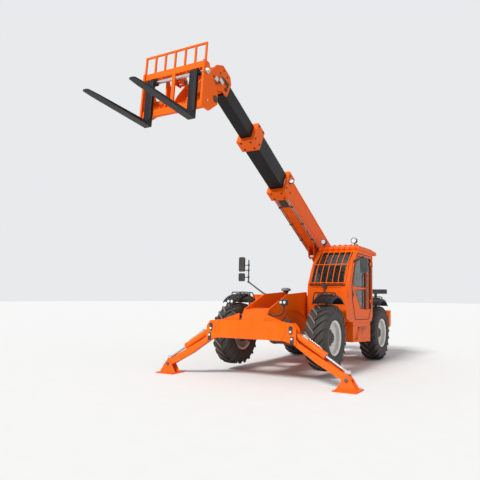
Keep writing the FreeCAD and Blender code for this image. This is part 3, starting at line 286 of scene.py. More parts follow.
    def cut(self, spot, facing, clear=False):
        """Cuts the faces by a plane, and may take off and close what lies beyond it."""
        bmesh.ops.bisect_plane(self.bm, geom=self.everything(), dist=0.00001, plane_co=spot, plane_no=facing,
                               clear_outer=clear)
        if clear:
            bmesh.ops.holes_fill(self.bm, edges=[e for e in self.bm.edges if e.is_boundary], sides=0)
        return self

    def mirror(self):
        """The same forms again on the other side of the middle."""
        bmesh.ops.mirror(self.bm, geom=self.everything(), matrix=Matrix(), merge_dist=0, axis="Y")
        return self

    def fit(self, name, finish, body="chassis", place=MACHINE, bevel=0.0, smooth=32, both=False, replaces=None):
        """The finished mesh as an object that rides on a body."""
        if both:
            self.mirror()
        bmesh.ops.transform(self.bm, matrix=place, verts=self.bm.verts)
        bmesh.ops.recalc_face_normals(self.bm, faces=self.bm.faces)
        mesh = bpy.data.meshes.new(name)
        self.bm.to_mesh(mesh)
        self.bm.free()
        mesh.shade_smooth()
        mesh.set_sharp_from_angle(angle=math.radians(smooth))
        piece = bpy.data.objects.new(name, mesh)
        bpy.context.scene.collection.objects.link(piece)
        material, slot = finish_for(finish)
        mesh.materials.append(material)
        if bevel:
            edge = piece.modifiers.new("Rounded edges", "BEVEL")
            edge.width = bevel
            edge.segments = 2
            edge.limit_method = "ANGLE"
            edge.angle_limit = math.radians(40)
            edge.harden_normals = True
        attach(piece, body)
        if replaces:
            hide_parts(replaces)
        return piece


# Finishes
class Nodes:
    """Short ways to add and join the nodes of a tree."""

    def __init__(self, tree):
        self.tree = tree

    def feed(self, value, socket):
        """A number, a colour or another node's output into a socket."""
        if isinstance(value, bpy.types.NodeSocket):
            self.tree.links.new(value, socket)
        else:
            socket.default_value = (*value, 1) if hasattr(value, "__len__") else value

    def fill(self, sockets, values):
        for name, value in values.items():
            self.feed(value, sockets[name])

    def add(self, kind, **settings):
        node = self.tree.nodes.new("ShaderNode" + kind)
        for name, value in settings.items():
            setattr(node, name, value)
        return node

    def maths(self, operation, one, other, clamp=False):
        node = self.add("Math", operation=operation, use_clamp=clamp)
        self.fill(node.inputs, {0: one, 1: other})
        return node.outputs[0]

    def mix(self, amount, one, other, blend="MIX"):
        node = self.add("Mix", data_type="RGBA", blend_type=blend)
        self.fill(node.inputs, {0: amount, 6: one, 7: other})
        return node.outputs[2]

    def noise(self, where, scale, detail=3.0, rough=0.5):
        node = self.add("TexNoise")
        self.fill(node.inputs, {"Vector": where, "Scale": scale, "Detail": detail, "Roughness": rough})
        return node.outputs["Fac"]

    def remap(self, value, low, high, to_low=0.0, to_high=1.0):
        node = self.add("MapRange")
        self.fill(node.inputs, dict(enumerate((value, low, high, to_low, to_high))))
        return node.outputs[0]

    def split(self):
        """Object coordinates as three numbers."""
        node = self.add("SeparateXYZ")
        self.feed(self.coordinates(), node.inputs[0])
        return node.outputs

    def coordinates(self, scale=(1, 1, 1)):
        """Object coordinates, scaled along each axis."""
        node = self.add("Mapping")
        node.inputs["Scale"].default_value = scale
        self.feed(self.add("TexCoord").outputs["Object"], node.inputs["Vector"])
        return node.outputs[0]

    def bump(self, height, strength, distance):
        node = self.add("Bump")
        self.fill(node.inputs, {"Height": height, "Strength": strength, "Distance": distance})
        return node.outputs["Normal"]


def fill_coat(nodes, given, result):
    """Paint with tone changes, dust low down and fine chips."""
    where = nodes.coordinates()
    broad = nodes.remap(nodes.noise(where, 1.7, 4), 0.3, 0.7)
    low_down = nodes.remap(nodes.split()[2], 1.5, 0.05)
    mask = nodes.maths("MULTIPLY", low_down, nodes.remap(nodes.noise(where, 11, 5, 0.65), 0.38, 0.72), True)
    mask = nodes.maths("MULTIPLY", mask, given["Dust"], True)
    toned = nodes.mix(1.0, given["Colour"], nodes.mix(broad, (0.9, 0.9, 0.9), (1.0, 1.0, 1.0)), "MULTIPLY")
    chips = nodes.maths("GREATER_THAN", nodes.noise(where, 48, 6, 0.7), 0.70)
    chipped = nodes.mix(nodes.maths("MULTIPLY", chips, given["Wear"], True), toned, linear(92, 66, 54))
    rough = nodes.maths("ADD", given["Gloss"], nodes.maths("MULTIPLY", mask, 0.5), True)
    fine = nodes.maths("MULTIPLY", nodes.noise(where, 160, 2), 0.35)
    nodes.fill(result, {
        "Colour": nodes.mix(mask, chipped, linear(158, 142, 124)),
        "Roughness": nodes.maths("ADD", rough, nodes.remap(broad, 0, 1, -0.04, 0.06), True),
        "Height": nodes.maths("ADD", fine, nodes.maths("MULTIPLY", mask, 0.6))})


def fill_metal(nodes, given, result):
    """Bare metal with drawing lines along X and stains."""
    lines = nodes.noise(nodes.coordinates((6, 240, 240)), 1.0, 2)
    stain = nodes.remap(nodes.noise(nodes.coordinates(), 14, 5, 0.6), 0.5, 0.8)
    mask = nodes.maths("MULTIPLY", stain, given["Stain"], True)
    rough = nodes.maths("ADD", given["Gloss"], nodes.remap(lines, 0.3, 0.7, -0.05, 0.08), True)
    nodes.fill(result, {
        "Colour": nodes.mix(mask, given["Colour"], linear(96, 84, 72)),
        "Roughness": nodes.maths("ADD", rough, nodes.maths("MULTIPLY", mask, 0.4), True),
        "Height": lines})


def fill_rubber(nodes, given, result):
    """Moulded rubber or plastic with a fine grain and pale dust."""
    where = nodes.coordinates()
    patch = nodes.remap(nodes.noise(where, 7, 6, 0.7), 0.4, 0.75)
    mask = nodes.maths("MULTIPLY", patch, given["Dust"], True)
    nodes.fill(result, {
        "Colour": nodes.mix(mask, given["Colour"], given["Dust colour"]),
        "Roughness": nodes.maths("ADD", given["Gloss"], nodes.maths("MULTIPLY", mask, 0.3), True),
        "Height": nodes.noise(where, 210, 3, 0.6)})


# Each node group: how it is filled, and its inputs with their defaults
GREY = (0.5, 0.5, 0.5, 1)
GROUPS = {
    "Painted coat": (fill_coat, {"Colour": GREY, "Gloss": 0.35, "Dust": 0.4, "Wear": 0.3}),
    "Drawn metal": (fill_metal, {"Colour": GREY, "Gloss": 0.25, "Stain": 0.3}),
    "Moulded grain": (fill_rubber, {"Colour": GREY, "Gloss": 0.7, "Dust": 0.4,
                                    "Dust colour": (*linear(118, 104, 92), 1)}),
}


def node_group(name):
    """A node group that puts out a colour, a roughness and a height, made once."""
    tree = bpy.data.node_groups.get(name)
    if tree is None:
        filler, inputs = GROUPS[name]
        tree = bpy.data.node_groups.new(name, "ShaderNodeTree")
        for label, default in inputs.items():
            kind = "NodeSocketColor" if isinstance(default, tuple) else "NodeSocketFloat"
            tree.interface.new_socket(name=label, in_out="INPUT", socket_type=kind).default_value = default
        for label, kind in (("Colour", "Color"), ("Roughness", "Float"), ("Height", "Float")):
            tree.interface.new_socket(name=label, in_out="OUTPUT", socket_type="NodeSocket" + kind)
        given, result = tree.nodes.new("NodeGroupInput"), tree.nodes.new("NodeGroupOutput")
        filler(Nodes(tree), given.outputs, result.inputs)
    return tree


def new_material(name, values):
    """A material with plain values on its shader, its nodes and its shader's inputs."""
    material = bpy.data.materials.new(name)
    material.use_nodes = True
    nodes = Nodes(material.node_tree)
    shader = material.node_tree.nodes["Principled BSDF"].inputs
    nodes.fill(shader, values)
    return material, nodes, shader


def grouped(group, name, values, metallic=0.0, relief=0.02, shine=0.5):
    """A material around a node group, whose inputs take the values in order."""
    material, nodes, shader = new_material(name, {"Metallic": metallic, "Specular IOR Level": shine})
    node = nodes.add("Group", node_tree=node_group(group))
    for value, socket in zip(values, node.inputs):
        nodes.feed(value, socket)
    nodes.fill(shader, {"Base Color": node.outputs["Colour"], "Roughness": node.outputs["Roughness"],
                        "Normal": nodes.bump(node.outputs["Height"], relief, 0.004)})
    return material


def regrouped(looks, finish, name):
    """A second material of a finish, its nodes, its group node and its shader's inputs."""
    material = finish_rows(looks)[finish][1](*finish_rows(looks)[finish][2:])
    material.name = name
    tree = material.node_tree
    return material, Nodes(tree), tree.nodes["Group"], tree.nodes["Principled BSDF"].inputs


def collared_section(looks):
    """Black boom section whose collar, further along the boom, has the body's paint."""
    material, nodes, coat, shader = regrouped(looks, "section", "Boom section with painted collar")
    along = BOOM.to_3x3() @ Vector((1, 0, 0))
    product = nodes.add("VectorMath", operation="DOT_PRODUCT")
    product.inputs[1].default_value = along
    nodes.feed(nodes.coordinates(), product.inputs[0])
    start = along.dot(BOOM.translation) + MID_COLLAR_START
    beyond = nodes.maths("GREATER_THAN", product.outputs["Value"], start)
    nodes.feed(nodes.mix(beyond, looks.sections, looks.body), coat.inputs["Colour"])
    return material


def shafted_carriage(looks):
    """Body paint with the bare metal of the fork shaft."""
    material, nodes, coat, shader = regrouped(looks, "body", "Carriage paint and bare shaft")
    centre = CARRIAGE @ Vector((SHAFT_X, 0, SHAFT_Z))
    spot = nodes.split()
    squares = []
    for output, middle in ((0, centre.x), (2, centre.z)):
        away = nodes.maths("SUBTRACT", spot[output], middle)
        squares.append(nodes.maths("MULTIPLY", away, away))
    bare = nodes.maths("LESS_THAN", nodes.maths("ADD", *squares), SHAFT_RADIUS ** 2)
    nodes.fill(shader, {
        "Base Color": nodes.mix(bare, coat.outputs["Colour"], linear(206, 206, 208)),
        "Metallic": bare,
        "Roughness": nodes.maths("SUBTRACT", coat.outputs["Roughness"], nodes.maths("MULTIPLY", bare, 0.2))})
    return material


def window_glass(looks):
    """Tinted glass with a thin film of dirt."""
    material, nodes, shader = new_material("Tinted window glass", {"Transmission Weight": 0.92, "IOR": 1.45})
    film = nodes.noise(nodes.coordinates(), 3.0, 3)
    tint = nodes.mix(nodes.remap(film, 0.35, 0.7), looks.glass, tuple(c * 0.82 for c in looks.glass))
    nodes.fill(shader, {"Base Color": tint, "Roughness": nodes.remap(film, 0.3, 0.7, 0.01, 0.06)})
    return material


def lens(name, shade, painted_glow):
    """A lens with moulded flutes and a faint emission in the flutes' tint, a painted glow though no lamp is lit."""
    material, nodes, shader = new_material(name, {"Coat Weight": 0.6, "Emission Strength": painted_glow})
    cells = nodes.add("TexVoronoi")
    nodes.fill(cells.inputs, {"Scale": 1.0, "Vector": nodes.coordinates((60, 60, 60))})
    flutes = cells.outputs["Distance"]
    tint = nodes.mix(flutes, shade, tuple(c * 0.7 for c in shade))
    nodes.fill(shader, {"Base Color": tint, "Emission Color": tint, "Normal": nodes.bump(flutes, 0.3, 0.003),
                        "Roughness": nodes.remap(flutes, 0, 1, 0.1, 0.3)})
    return material


def seat_cloth(looks):
    """Woven cover: two crossed ribs of thread."""
    material, nodes, shader = new_material("Seat cloth", {"Sheen Weight": 0.3})
    where = nodes.coordinates()
    ribs = []
    for direction in ("Y", "Z"):
        wave = nodes.add("TexWave", bands_direction=direction)
        nodes.fill(wave.inputs, {"Vector": where, "Scale": 95, "Distortion": 0.6})
        ribs.append(wave.outputs["Fac"])
    weave = nodes.maths("MULTIPLY", *ribs)
    threads = nodes.mix(weave, tuple(c * 0.65 for c in looks.cloth), looks.cloth)
    fade = nodes.remap(nodes.noise(where, 6, 4), 0.45, 0.8, 0, 0.35)
    nodes.fill(shader, {"Base Color": nodes.mix(fade, threads, linear(92, 88, 84)),
                        "Roughness": nodes.remap(weave, 0, 1, 0.95, 0.75),
                        "Normal": nodes.bump(weave, 0.4, 0.002)})
    return material


def finish_rows(looks):
    """Each finish: the record's slot that it takes its look from, its maker and what the maker is given."""
    coat, metal, rubber = GROUPS
    dust, wear = looks.dust, looks.wear
    return {
        "body": ("body_paint", grouped, coat, "Orange body paint",
                 (looks.body, 0.42, dust * 0.35, wear), 0, 0.02, 0.12),
        "section": ("black_paint", grouped, coat, "Black boom paint", (looks.sections, 0.38, 0.0, 0.1), 0, 0.02, 0.15),
        "black": ("black_paint", grouped, coat, "Black paint", (looks.black, 0.36, dust * 0.3, wear), 0, 0.02, 0.2),
        "steel": ("dark_steel", grouped, coat, "Dark cast steel",
                  (linear(70, 66, 66), 0.5, dust * 1.3, wear), 0.35, 0.15),
        "rim": ("rim_paint", grouped, coat, "Silver rim paint", (looks.rims, 0.4, dust * 0.8, wear), 0.1, 0.03),
        "chrome": ("chrome_rod", grouped, metal, "Chromed rod", (linear(214, 214, 218), 0.12, 0.05), 1, 0.01),
        "bright": ("chrome_rod", grouped, metal, "Zinc plated steel", (linear(206, 204, 198), 0.32, 0.2), 1, 0.03),
        "mirror": ("chrome_rod", grouped, metal, "Mirror glass", (linear(206, 214, 220), 0.05, 0.02), 1, 0.004),
        "tyre": ("tyre_rubber", grouped, rubber, "Tyre rubber", (looks.rubber, 0.72, 0.4, linear(96, 86, 78)), 0, 0.35),
        "dusty": ("tyre_rubber", grouped, rubber, "Dusty lug tops",
                  (linear(112, 101, 94), 0.8, 0.7, linear(128, 114, 104)), 0, 0.3),
        "gasket": ("tyre_rubber", grouped, rubber, "Gasket rubber", (linear(24, 24, 25), 0.6, 0.1), 0, 0.15),
        "plastic": ("black_plastic", grouped, rubber, "Black plastic", (linear(34, 34, 37), 0.45, 0.15), 0, 0.12),
        "grey": ("black_plastic", grouped, rubber, "Grey plastic", (linear(104, 110, 122), 0.45, 0.2), 0, 0.12),
        "pad": ("black_plastic", grouped, rubber, "Wear pad", (linear(226, 220, 204), 0.5, 0.2), 0, 0.08),
        "collared": ("black_paint", collared_section, looks),
        "shafted": ("body_paint", shafted_carriage, looks),
        "glass": ("window_glass", window_glass, looks),
        # Lenses and rear reflectors: the last number is the strength of a painted glow, an emission though no lamp is
        # lit
        "clear": ("window_glass", lens, "Clear lens", linear(232, 234, 238), 0.06),
        "red": ("window_glass", lens, "Red lens", linear(178, 18, 16), 0.08),
        "amber": ("window_glass", lens, "Amber lens", linear(235, 128, 14), 0.1),
        "cloth": ("seat_cover", seat_cloth, looks),
    }


MADE = {}


def finish_for(name):
    """The material of a finish, made once, and its slot."""
    slot, maker, *values = finish_rows(bpy.context.scene.telehandler_colours)[name]
    if name not in MADE:
        MADE[name] = maker(*values)
    return MADE[name], slot


# Starts of the nodes' names for each finish; the first that fits counts
NODE_FINISHES = (
    ("chrome", ("leg_ram_rod", "lift_rod", "tilt_rod")),
    ("tyre", ("tyre",)),
    ("rim", ("rim",)),
    ("steel", ("knuckle", "front_axle", "rear_axle", "engine_block")),
    ("black", ("fender", "fork")),
    ("collared", ("boom_mid",)),
    ("section", ("boom_inner",)),
    ("shafted", ("carriage",)),
    ("glass", ("cab_glass", "door_glass")),
    ("plastic", ("head_lamps", "seat_base", "steering_column", "roof_lamps", "rear_light_bar", "right_mirrors",
                 "left_mirror")),
    ("cloth", ("seat",)),
    ("grey", ("pre_cleaner",)),
    ("body", ("",)),
)


class TELEHANDLER_OT_finishes(bpy.types.Operator):
    """Gives each piece of the frame its paint, metal, rubber, plastic or glass"""
    bl_idname = "telehandler.finishes"
    bl_label = "Finishes of the frame"

    def execute(self, context):
        for name, node in NODES.items():
            finish = next(finish for finish, starts in NODE_FINISHES if name.startswith(starts))
            node.data.materials.clear()
            node.data.materials.append(finish_for(finish)[0])
        return {"FINISHED"}


class TELEHANDLER_OT_stage(bpy.types.Operator):
    """Camera at the photograph's place, pale floor and soft studio lamps"""
    bl_idname = "telehandler.stage"
    bl_label = "Stage"

    def execute(self, context):
        scene = context.scene
        self.add_camera(scene)
        self.add_floor(scene, scene.telehandler_colours.floor)
        self.add_light(scene)
        scene.view_settings.view_transform = "Standard"
        return {"FINISHED"}

    def add_camera(self, scene):
        optics = bpy.data.cameras.new("Camera")
        optics.sensor_width = 36
        optics.lens = 40.212
        optics.shift_y = 0.0205
        optics.clip_end = 400
        camera = bpy.data.objects.new("Camera", optics)
        right = Vector((-0.511819, 0.859079, 0.004962))
        up = Vector((0.064533, 0.032686, 0.997380))
        ahead = Vector((-0.856666, -0.510799, 0.072168))
        turn = Matrix((right, up, -ahead)).transposed().to_4x4()
        camera.matrix_world = moved(9.43627, 4.81271, 1.64483) @ turn
        scene.collection.objects.link(camera)
        scene.camera = camera

    def add_floor(self, scene, tone):
        bm = bmesh.new()
        bmesh.ops.create_circle(bm, cap_ends=True, segments=96, radius=60)
        mesh = bpy.data.meshes.new("Floor")
        bm.to_mesh(mesh)
        bm.free()
        floor = bpy.data.objects.new("Floor", mesh)
        scene.collection.objects.link(floor)
        paving, nodes, shader = new_material("Pale floor", {"Roughness": 0.85})
        grain = nodes.noise(nodes.coordinates(), 3, 5)
        nodes.feed(nodes.mix(grain, tone, tuple(c * 0.96 for c in tone)), shader["Base Color"])
        mesh.materials.append(paving)

    def add_light(self, scene):
        world = bpy.data.worlds.new("Studio")
        scene.world = world
        world.use_nodes = True
        tree = world.node_tree
        nodes = Nodes(tree)
        room, plain = tree.nodes["Background"], nodes.add("Background")
        nodes.fill(room.inputs, {"Color": (0.96, 0.98, 1.0), "Strength": 0.47})
        nodes.fill(plain.inputs, {"Color": linear(232, 234, 236), "Strength": 1.0})
        ray = nodes.add("LightPath").outputs
        seen = nodes.maths("MAXIMUM", ray["Is Camera Ray"], ray["Is Glossy Ray"])
        seen = nodes.maths("MAXIMUM", seen, ray["Is Transmission Ray"])
        mixer = nodes.add("MixShader")
        nodes.fill(mixer.inputs, {0: seen, 1: room.outputs[0], 2: plain.outputs[0]})
        nodes.feed(mixer.outputs[0], tree.nodes["World Output"].inputs["Surface"])
        for name, direction, power, spread in (
            ("Key", (0.80, -0.12, 0.70), 3.5, 14),
            ("Fill", (0.25, 0.95, 0.35), 0.5, 60),
        ):
            lamp = bpy.data.lights.new(name, "SUN")
            lamp.energy = power
            lamp.angle = math.radians(spread)
            holder = bpy.data.objects.new(name, lamp)
            holder.rotation_euler = Vector(direction).to_track_quat("Z", "Y").to_euler()
            scene.collection.objects.link(holder)


def lug_mesh(side, lug_height):
    """One bar of the chevron tread, from the middle over the shoulder."""
    bm = bmesh.new()
    bmesh.ops.create_cube(bm, size=1.0)
    across = [e for e in bm.edges if abs((e.verts[0].co - e.verts[1].co).y) > 0.5]
    bmesh.ops.subdivide_edges(bm, edges=across, cuts=6)
    for v in bm.verts:
        reach = v.co.y + 0.5
        top = v.co.z > 0
        tread = min(reach / 0.86, 1.0)
        fall = max(reach - 0.80, 0.0) / 0.20
        radius = 0.580 - 0.020 * tread ** 2 - 0.085 * fall
        radius += (lug_height + 0.009) * (1 - 0.62 * fall) if top else -0.01
        radius = min(radius, 0.6235)
        y = -0.012 + 0.212 * tread ** 0.92 + (0.008 * fall if top else -0.012 * fall)
        width = 0.046 + 0.016 * tread - (0.012 if top else 0.0)
        angle = (0.24 * tread ** 0.85 + v.co.x * width) / 0.6
        v.co = (radius * math.cos(angle), side * min(y, 0.2085), radius * math.sin(angle))
    bmesh.ops.recalc_face_normals(bm, faces=bm.faces)
    mesh = bpy.data.meshes.new("lug")
    for face in bm.faces:
        face.normal_update()
        outward = face.calc_center_median()
        # tops have the second material, dust
        face.material_index = int(face.normal.dot(Vector((outward.x, 0, outward.z)).normalized()) > 0.75)
    bm.to_mesh(mesh)
    bm.free()
    return mesh


# Half of a tyre's wall and tread: radius and Y
TYRE_SECTION = (
    (0.3045, 0.150), (0.306, 0.162), (0.332, 0.174), (0.344, 0.184), (0.350, 0.181), (0.372, 0.190), (0.378, 0.196),
    (0.386, 0.194), (0.43, 0.2015), (0.475, 0.2025), (0.480, 0.2005), (0.52, 0.197), (0.555, 0.186), (0.575, 0.168),
    (0.583, 0.14), (0.587, 0.07),
)


class TELEHANDLER_OT_tyres(bpy.types.Operator):
    """Tyres with a rounded wall, moulded rings and a chevron tread"""
    bl_idname = "telehandler.tyres"
    bl_label = "Tyres"

    def execute(self, context):
        sizes = context.scene.telehandler_sizes
        profile = [(r, -y) for r, y in TYRE_SECTION] + [(0.588, 0.0)] + [(r, y) for r, y in reversed(TYRE_SECTION)]
        pitch = 360 / sizes.lug_count
        for corner in CORNERS:
            tyre = Shape().lathe(profile, 88, closed=True)
            for side in (1, -1):
                lug = lug_mesh(side, sizes.lug_height)
                lug.transform(turned("Y", pitch * (side - 1) / 4))
                for _ in range(sizes.lug_count):
                    tyre.bm.from_mesh(lug)
                    lug.transform(turned("Y", pitch))
                bpy.data.meshes.remove(lug)
            tread = tyre.fit("tread_" + corner, "tyre", "wheel_" + corner, hub_frame(corner), smooth=38,
                             replaces="tyre_" + corner)
            tread.data.materials.append(finish_for("dusty")[0])
        return {"FINISHED"}


class TELEHANDLER_OT_wheel_trim(bpy.types.Operator):
    """Hub covers, wheel nuts and valves"""
    bl_idname = "telehandler.wheel_trim"
    bl_label = "Wheel trim"

    def execute(self, context):
        for corner, (x, side) in CORNERS.items():
            place = hub_frame(corner) @ Matrix.Scale(side, 4, (0, 1, 0))
            wheel = "wheel_" + corner
            Shape().bolts(0.056, circle(0.163, 12), 0.034, 0.026).fit("wheel_nuts_" + corner, "bright", wheel, place)
            hub = Shape()
            hub.lathe([(0.0, 0.1325), (0.086, 0.1325), (0.0925, 0.129), (0.1325, 0.072), (0.1335, 0.058),
                       (0.188, 0.056), (0.1905, 0.053), (0.1905, 0.048), (0.0, 0.048)])
            hub.bolts(0.1325, circle(0.066, 8, 22.5), 0.02, 0.01)
            hub.lathe([(0.0, 0.146), (0.03, 0.146), (0.036, 0.140), (0.036, 0.128), (0.0, 0.128)], 32)
            hub.fit("hub_cover_" + corner, "steel", wheel, place)
            bend = [(0.262, 0.075, 0.01), (0.262, 0.10, 0.01), (0.248, 0.125, 0.01), (0.232, 0.135, 0.01)]
            Shape().pipe(bend, 0.006).fit("tyre_valve_" + corner, "gasket", wheel, place)
        return {"FINISHED"}


# Mudguard across its width: radius and Y, outside then inside
MUDGUARD_SECTION = (
    (0.500, -0.190), (0.528, -0.1895), (0.540, -0.182), (0.545, -0.168),
    (0.545, -0.128), (0.556, -0.120), (0.556, -0.096), (0.545, -0.088),
    (0.545, -0.024), (0.556, -0.016), (0.556, 0.016), (0.545, 0.024),
    (0.545, 0.088), (0.556, 0.096), (0.556, 0.120), (0.545, 0.128),
    (0.545, 0.168), (0.540, 0.182), (0.528, 0.1895), (0.500, 0.190),
    (0.500, 0.183), (0.526, 0.181), (0.534, 0.165), (0.534, -0.165), (0.526, -0.181), (0.500, -0.183),
)


class TELEHANDLER_OT_mudguards(bpy.types.Operator):
    """Ribbed mudguards with turned-down edges, their hoops and bolts"""
    bl_idname = "telehandler.mudguards"
    bl_label = "Mudguards"

    def execute(self, context):
        for corner, (x, side) in CORNERS.items():
            knuckle = "steer_" + corner
            centre = MACHINE @ moved(x - 0.130, side * HALF_TRACK, AXLE_HEIGHT + 0.250)
            Shape().sweep(MUDGUARD_SECTION, -44.5, 89, 30).fit(
                "mudguard_" + corner, "black", knuckle, centre, smooth=35, replaces="fender_" + corner)
            inner, outer, low = side * (HALF_TRACK - 0.172), side * (HALF_TRACK + 0.130), 1.467
            hoop = Shape()
            hoop.pipe([(x + ahead, inner, z) for ahead, z in (
                (0.236, 1.268), (0.196, 1.400), (0.160, low), (0, low), (-0.100, low), (-0.290, low), (-0.350, low),
                (-0.420, 1.400), (-0.470, 1.292))], 0.011)
            hoop.pipe([(x - 0.070, y, z) for y, z in (
                (inner, low), (side * HALF_TRACK, low), (outer, low), (outer + side * 0.03, low),
                (outer + side * 0.04, 1.420))], 0.011)
            hoop.fit("mudguard_hoop_" + corner, "black", knuckle)
            bolts = Shape()
            for y in (-0.09, 0.0):
                bolts.bolt((x - 0.140, side * (HALF_TRACK + y), 1.4475), (0, 0, 1), 0.02, 0.01)
            bolts.fit("mudguard_bolts_" + corner, "bright", knuckle)
        return {"FINISHED"}


class TELEHANDLER_OT_boom(bpy.types.Operator):
    """Collar bolts and lugs, pins, work lamp and the pipes along the outer section"""
    bl_idname = "telehandler.boom"
    bl_label = "Boom details"

    def execute(self, context):
        sizes = context.scene.telehandler_sizes
        for body, end, width, height in COLLARS:
            top, low = SECTION_LIFT + height / 2, SECTION_LIFT - height / 2
            bolts, weld = Shape(), Shape()
            for u in (end - 0.215, end - 0.055):
                bolts.bolts(width / 2, ((u, SECTION_LIFT - 0.13), (u, SECTION_LIFT + 0.17)), sizes.bolt_across)
                for w, way in ((top, 1), (low, -1)):
                    bolts.bolt((u, 0.28 * width, w), (0, 0, way), sizes.bolt_across)
            bolts.fit("collar_bolts_" + body, "steel", body, BOOM, both=True)
            Shape().block((end - 0.20, 0.066, top - 0.012), (end - 0.07, 0.084, top + 0.060), 0.028, "Y").fit(
                "collar_lug_" + body, "body", body, BOOM, 0.002, both=True)
            Shape().disc(end - 0.135, top + 0.028, -0.100, 0.100, 0.017).fit(
                "collar_pin_" + body, "steel", body, BOOM, 0.002)
            for w in (low - 0.003, top - 0.009):
                weld.block((end - 0.268, 0.05 - width / 2, w), (end - 0.256, width / 2 - 0.05, w + 0.012))
            weld.fit("collar_weld_" + body, "body", body, BOOM, 0.004)
        pads = Shape().block((4.250, 0.065, 0.2105), (4.263, 0.135, 0.2225))
        pads.block((4.250, 0.141, -0.03), (4.263, 0.149, 0.10))
        pads.fit("wear_pads_outer", "pad", "boom_outer", BOOM, 0.002, both=True)
        pipes, clamps = Shape(), Shape()
        for y in (0.118, 0.148):
            pipes.bar((0.35, y, -0.193), (3.975, y, -0.193), sizes.pipe_radius, 12)
        pipes.fit("boom_pipes", "bright", "boom_outer", BOOM, both=True)
        for u in (0.5, 1.2, 1.75, 2.5, 3.1, 3.7):
            clamps.block((u, 0.098, -0.208), (u + 0.035, 0.1645, -0.1795))
        clamps.fit("pipe_clamps", "steel", "boom_outer", BOOM, 0.002, both=True)
        caps = Shape().disc(0, 0, 0.2600, 0.276, 0.062, 32).bolts(0.276, circle(0.045, 3, 30), 0.018, 0.008)
        caps.fit("boom_pin_caps", "steel", "chassis", BOOM, both=True)
        Shape().block((3.70, -0.080, -0.187), (3.945, 0.080, -0.178), 0.025, "Z").fit(
            "blank_plate", "plastic", "boom_outer", BOOM, 0.002)
        seams = Shape()
        for w in (-0.108, 0.215):
            seams.block((0.30, 0.163, w), (3.97, 0.169, w + 0.007), 0.002, "X")
        seams.fit("section_seams", "body", "boom_outer", BOOM, both=True)
        arm = Shape().disc(4.150, 0.09, 0.199, 0.236, 0.013, 20)
        arm.block((4.120, 0.200, 0.060), (4.180, 0.207, 0.120), 0.012, "Y")
        arm.fit("boom_lamp_arm", "steel", "boom_outer", BOOM, 0.001)
        facing = BOOM @ moved(4.165, 0.250, 0.09) @ turned("Z", -76) @ turned("X", -8)
        Shape().lathe([(0.0, -0.030), (0.026, -0.028), (0.042, -0.012), (0.048, 0.010), (0.048, 0.024),
                       (0.043, 0.024), (0.041, 0.014), (0.0, 0.014)], 40).fit(
            "boom_lamp_housing", "plastic", "boom_outer", facing)
        Shape().lathe([(0.0, 0.0235), (0.030, 0.0215), (0.0415, 0.0165), (0.0415, 0.0125), (0.0, 0.0125)], 40).fit(
            "boom_lamp_lens", "clear", "boom_outer", facing)
        return {"FINISHED"}


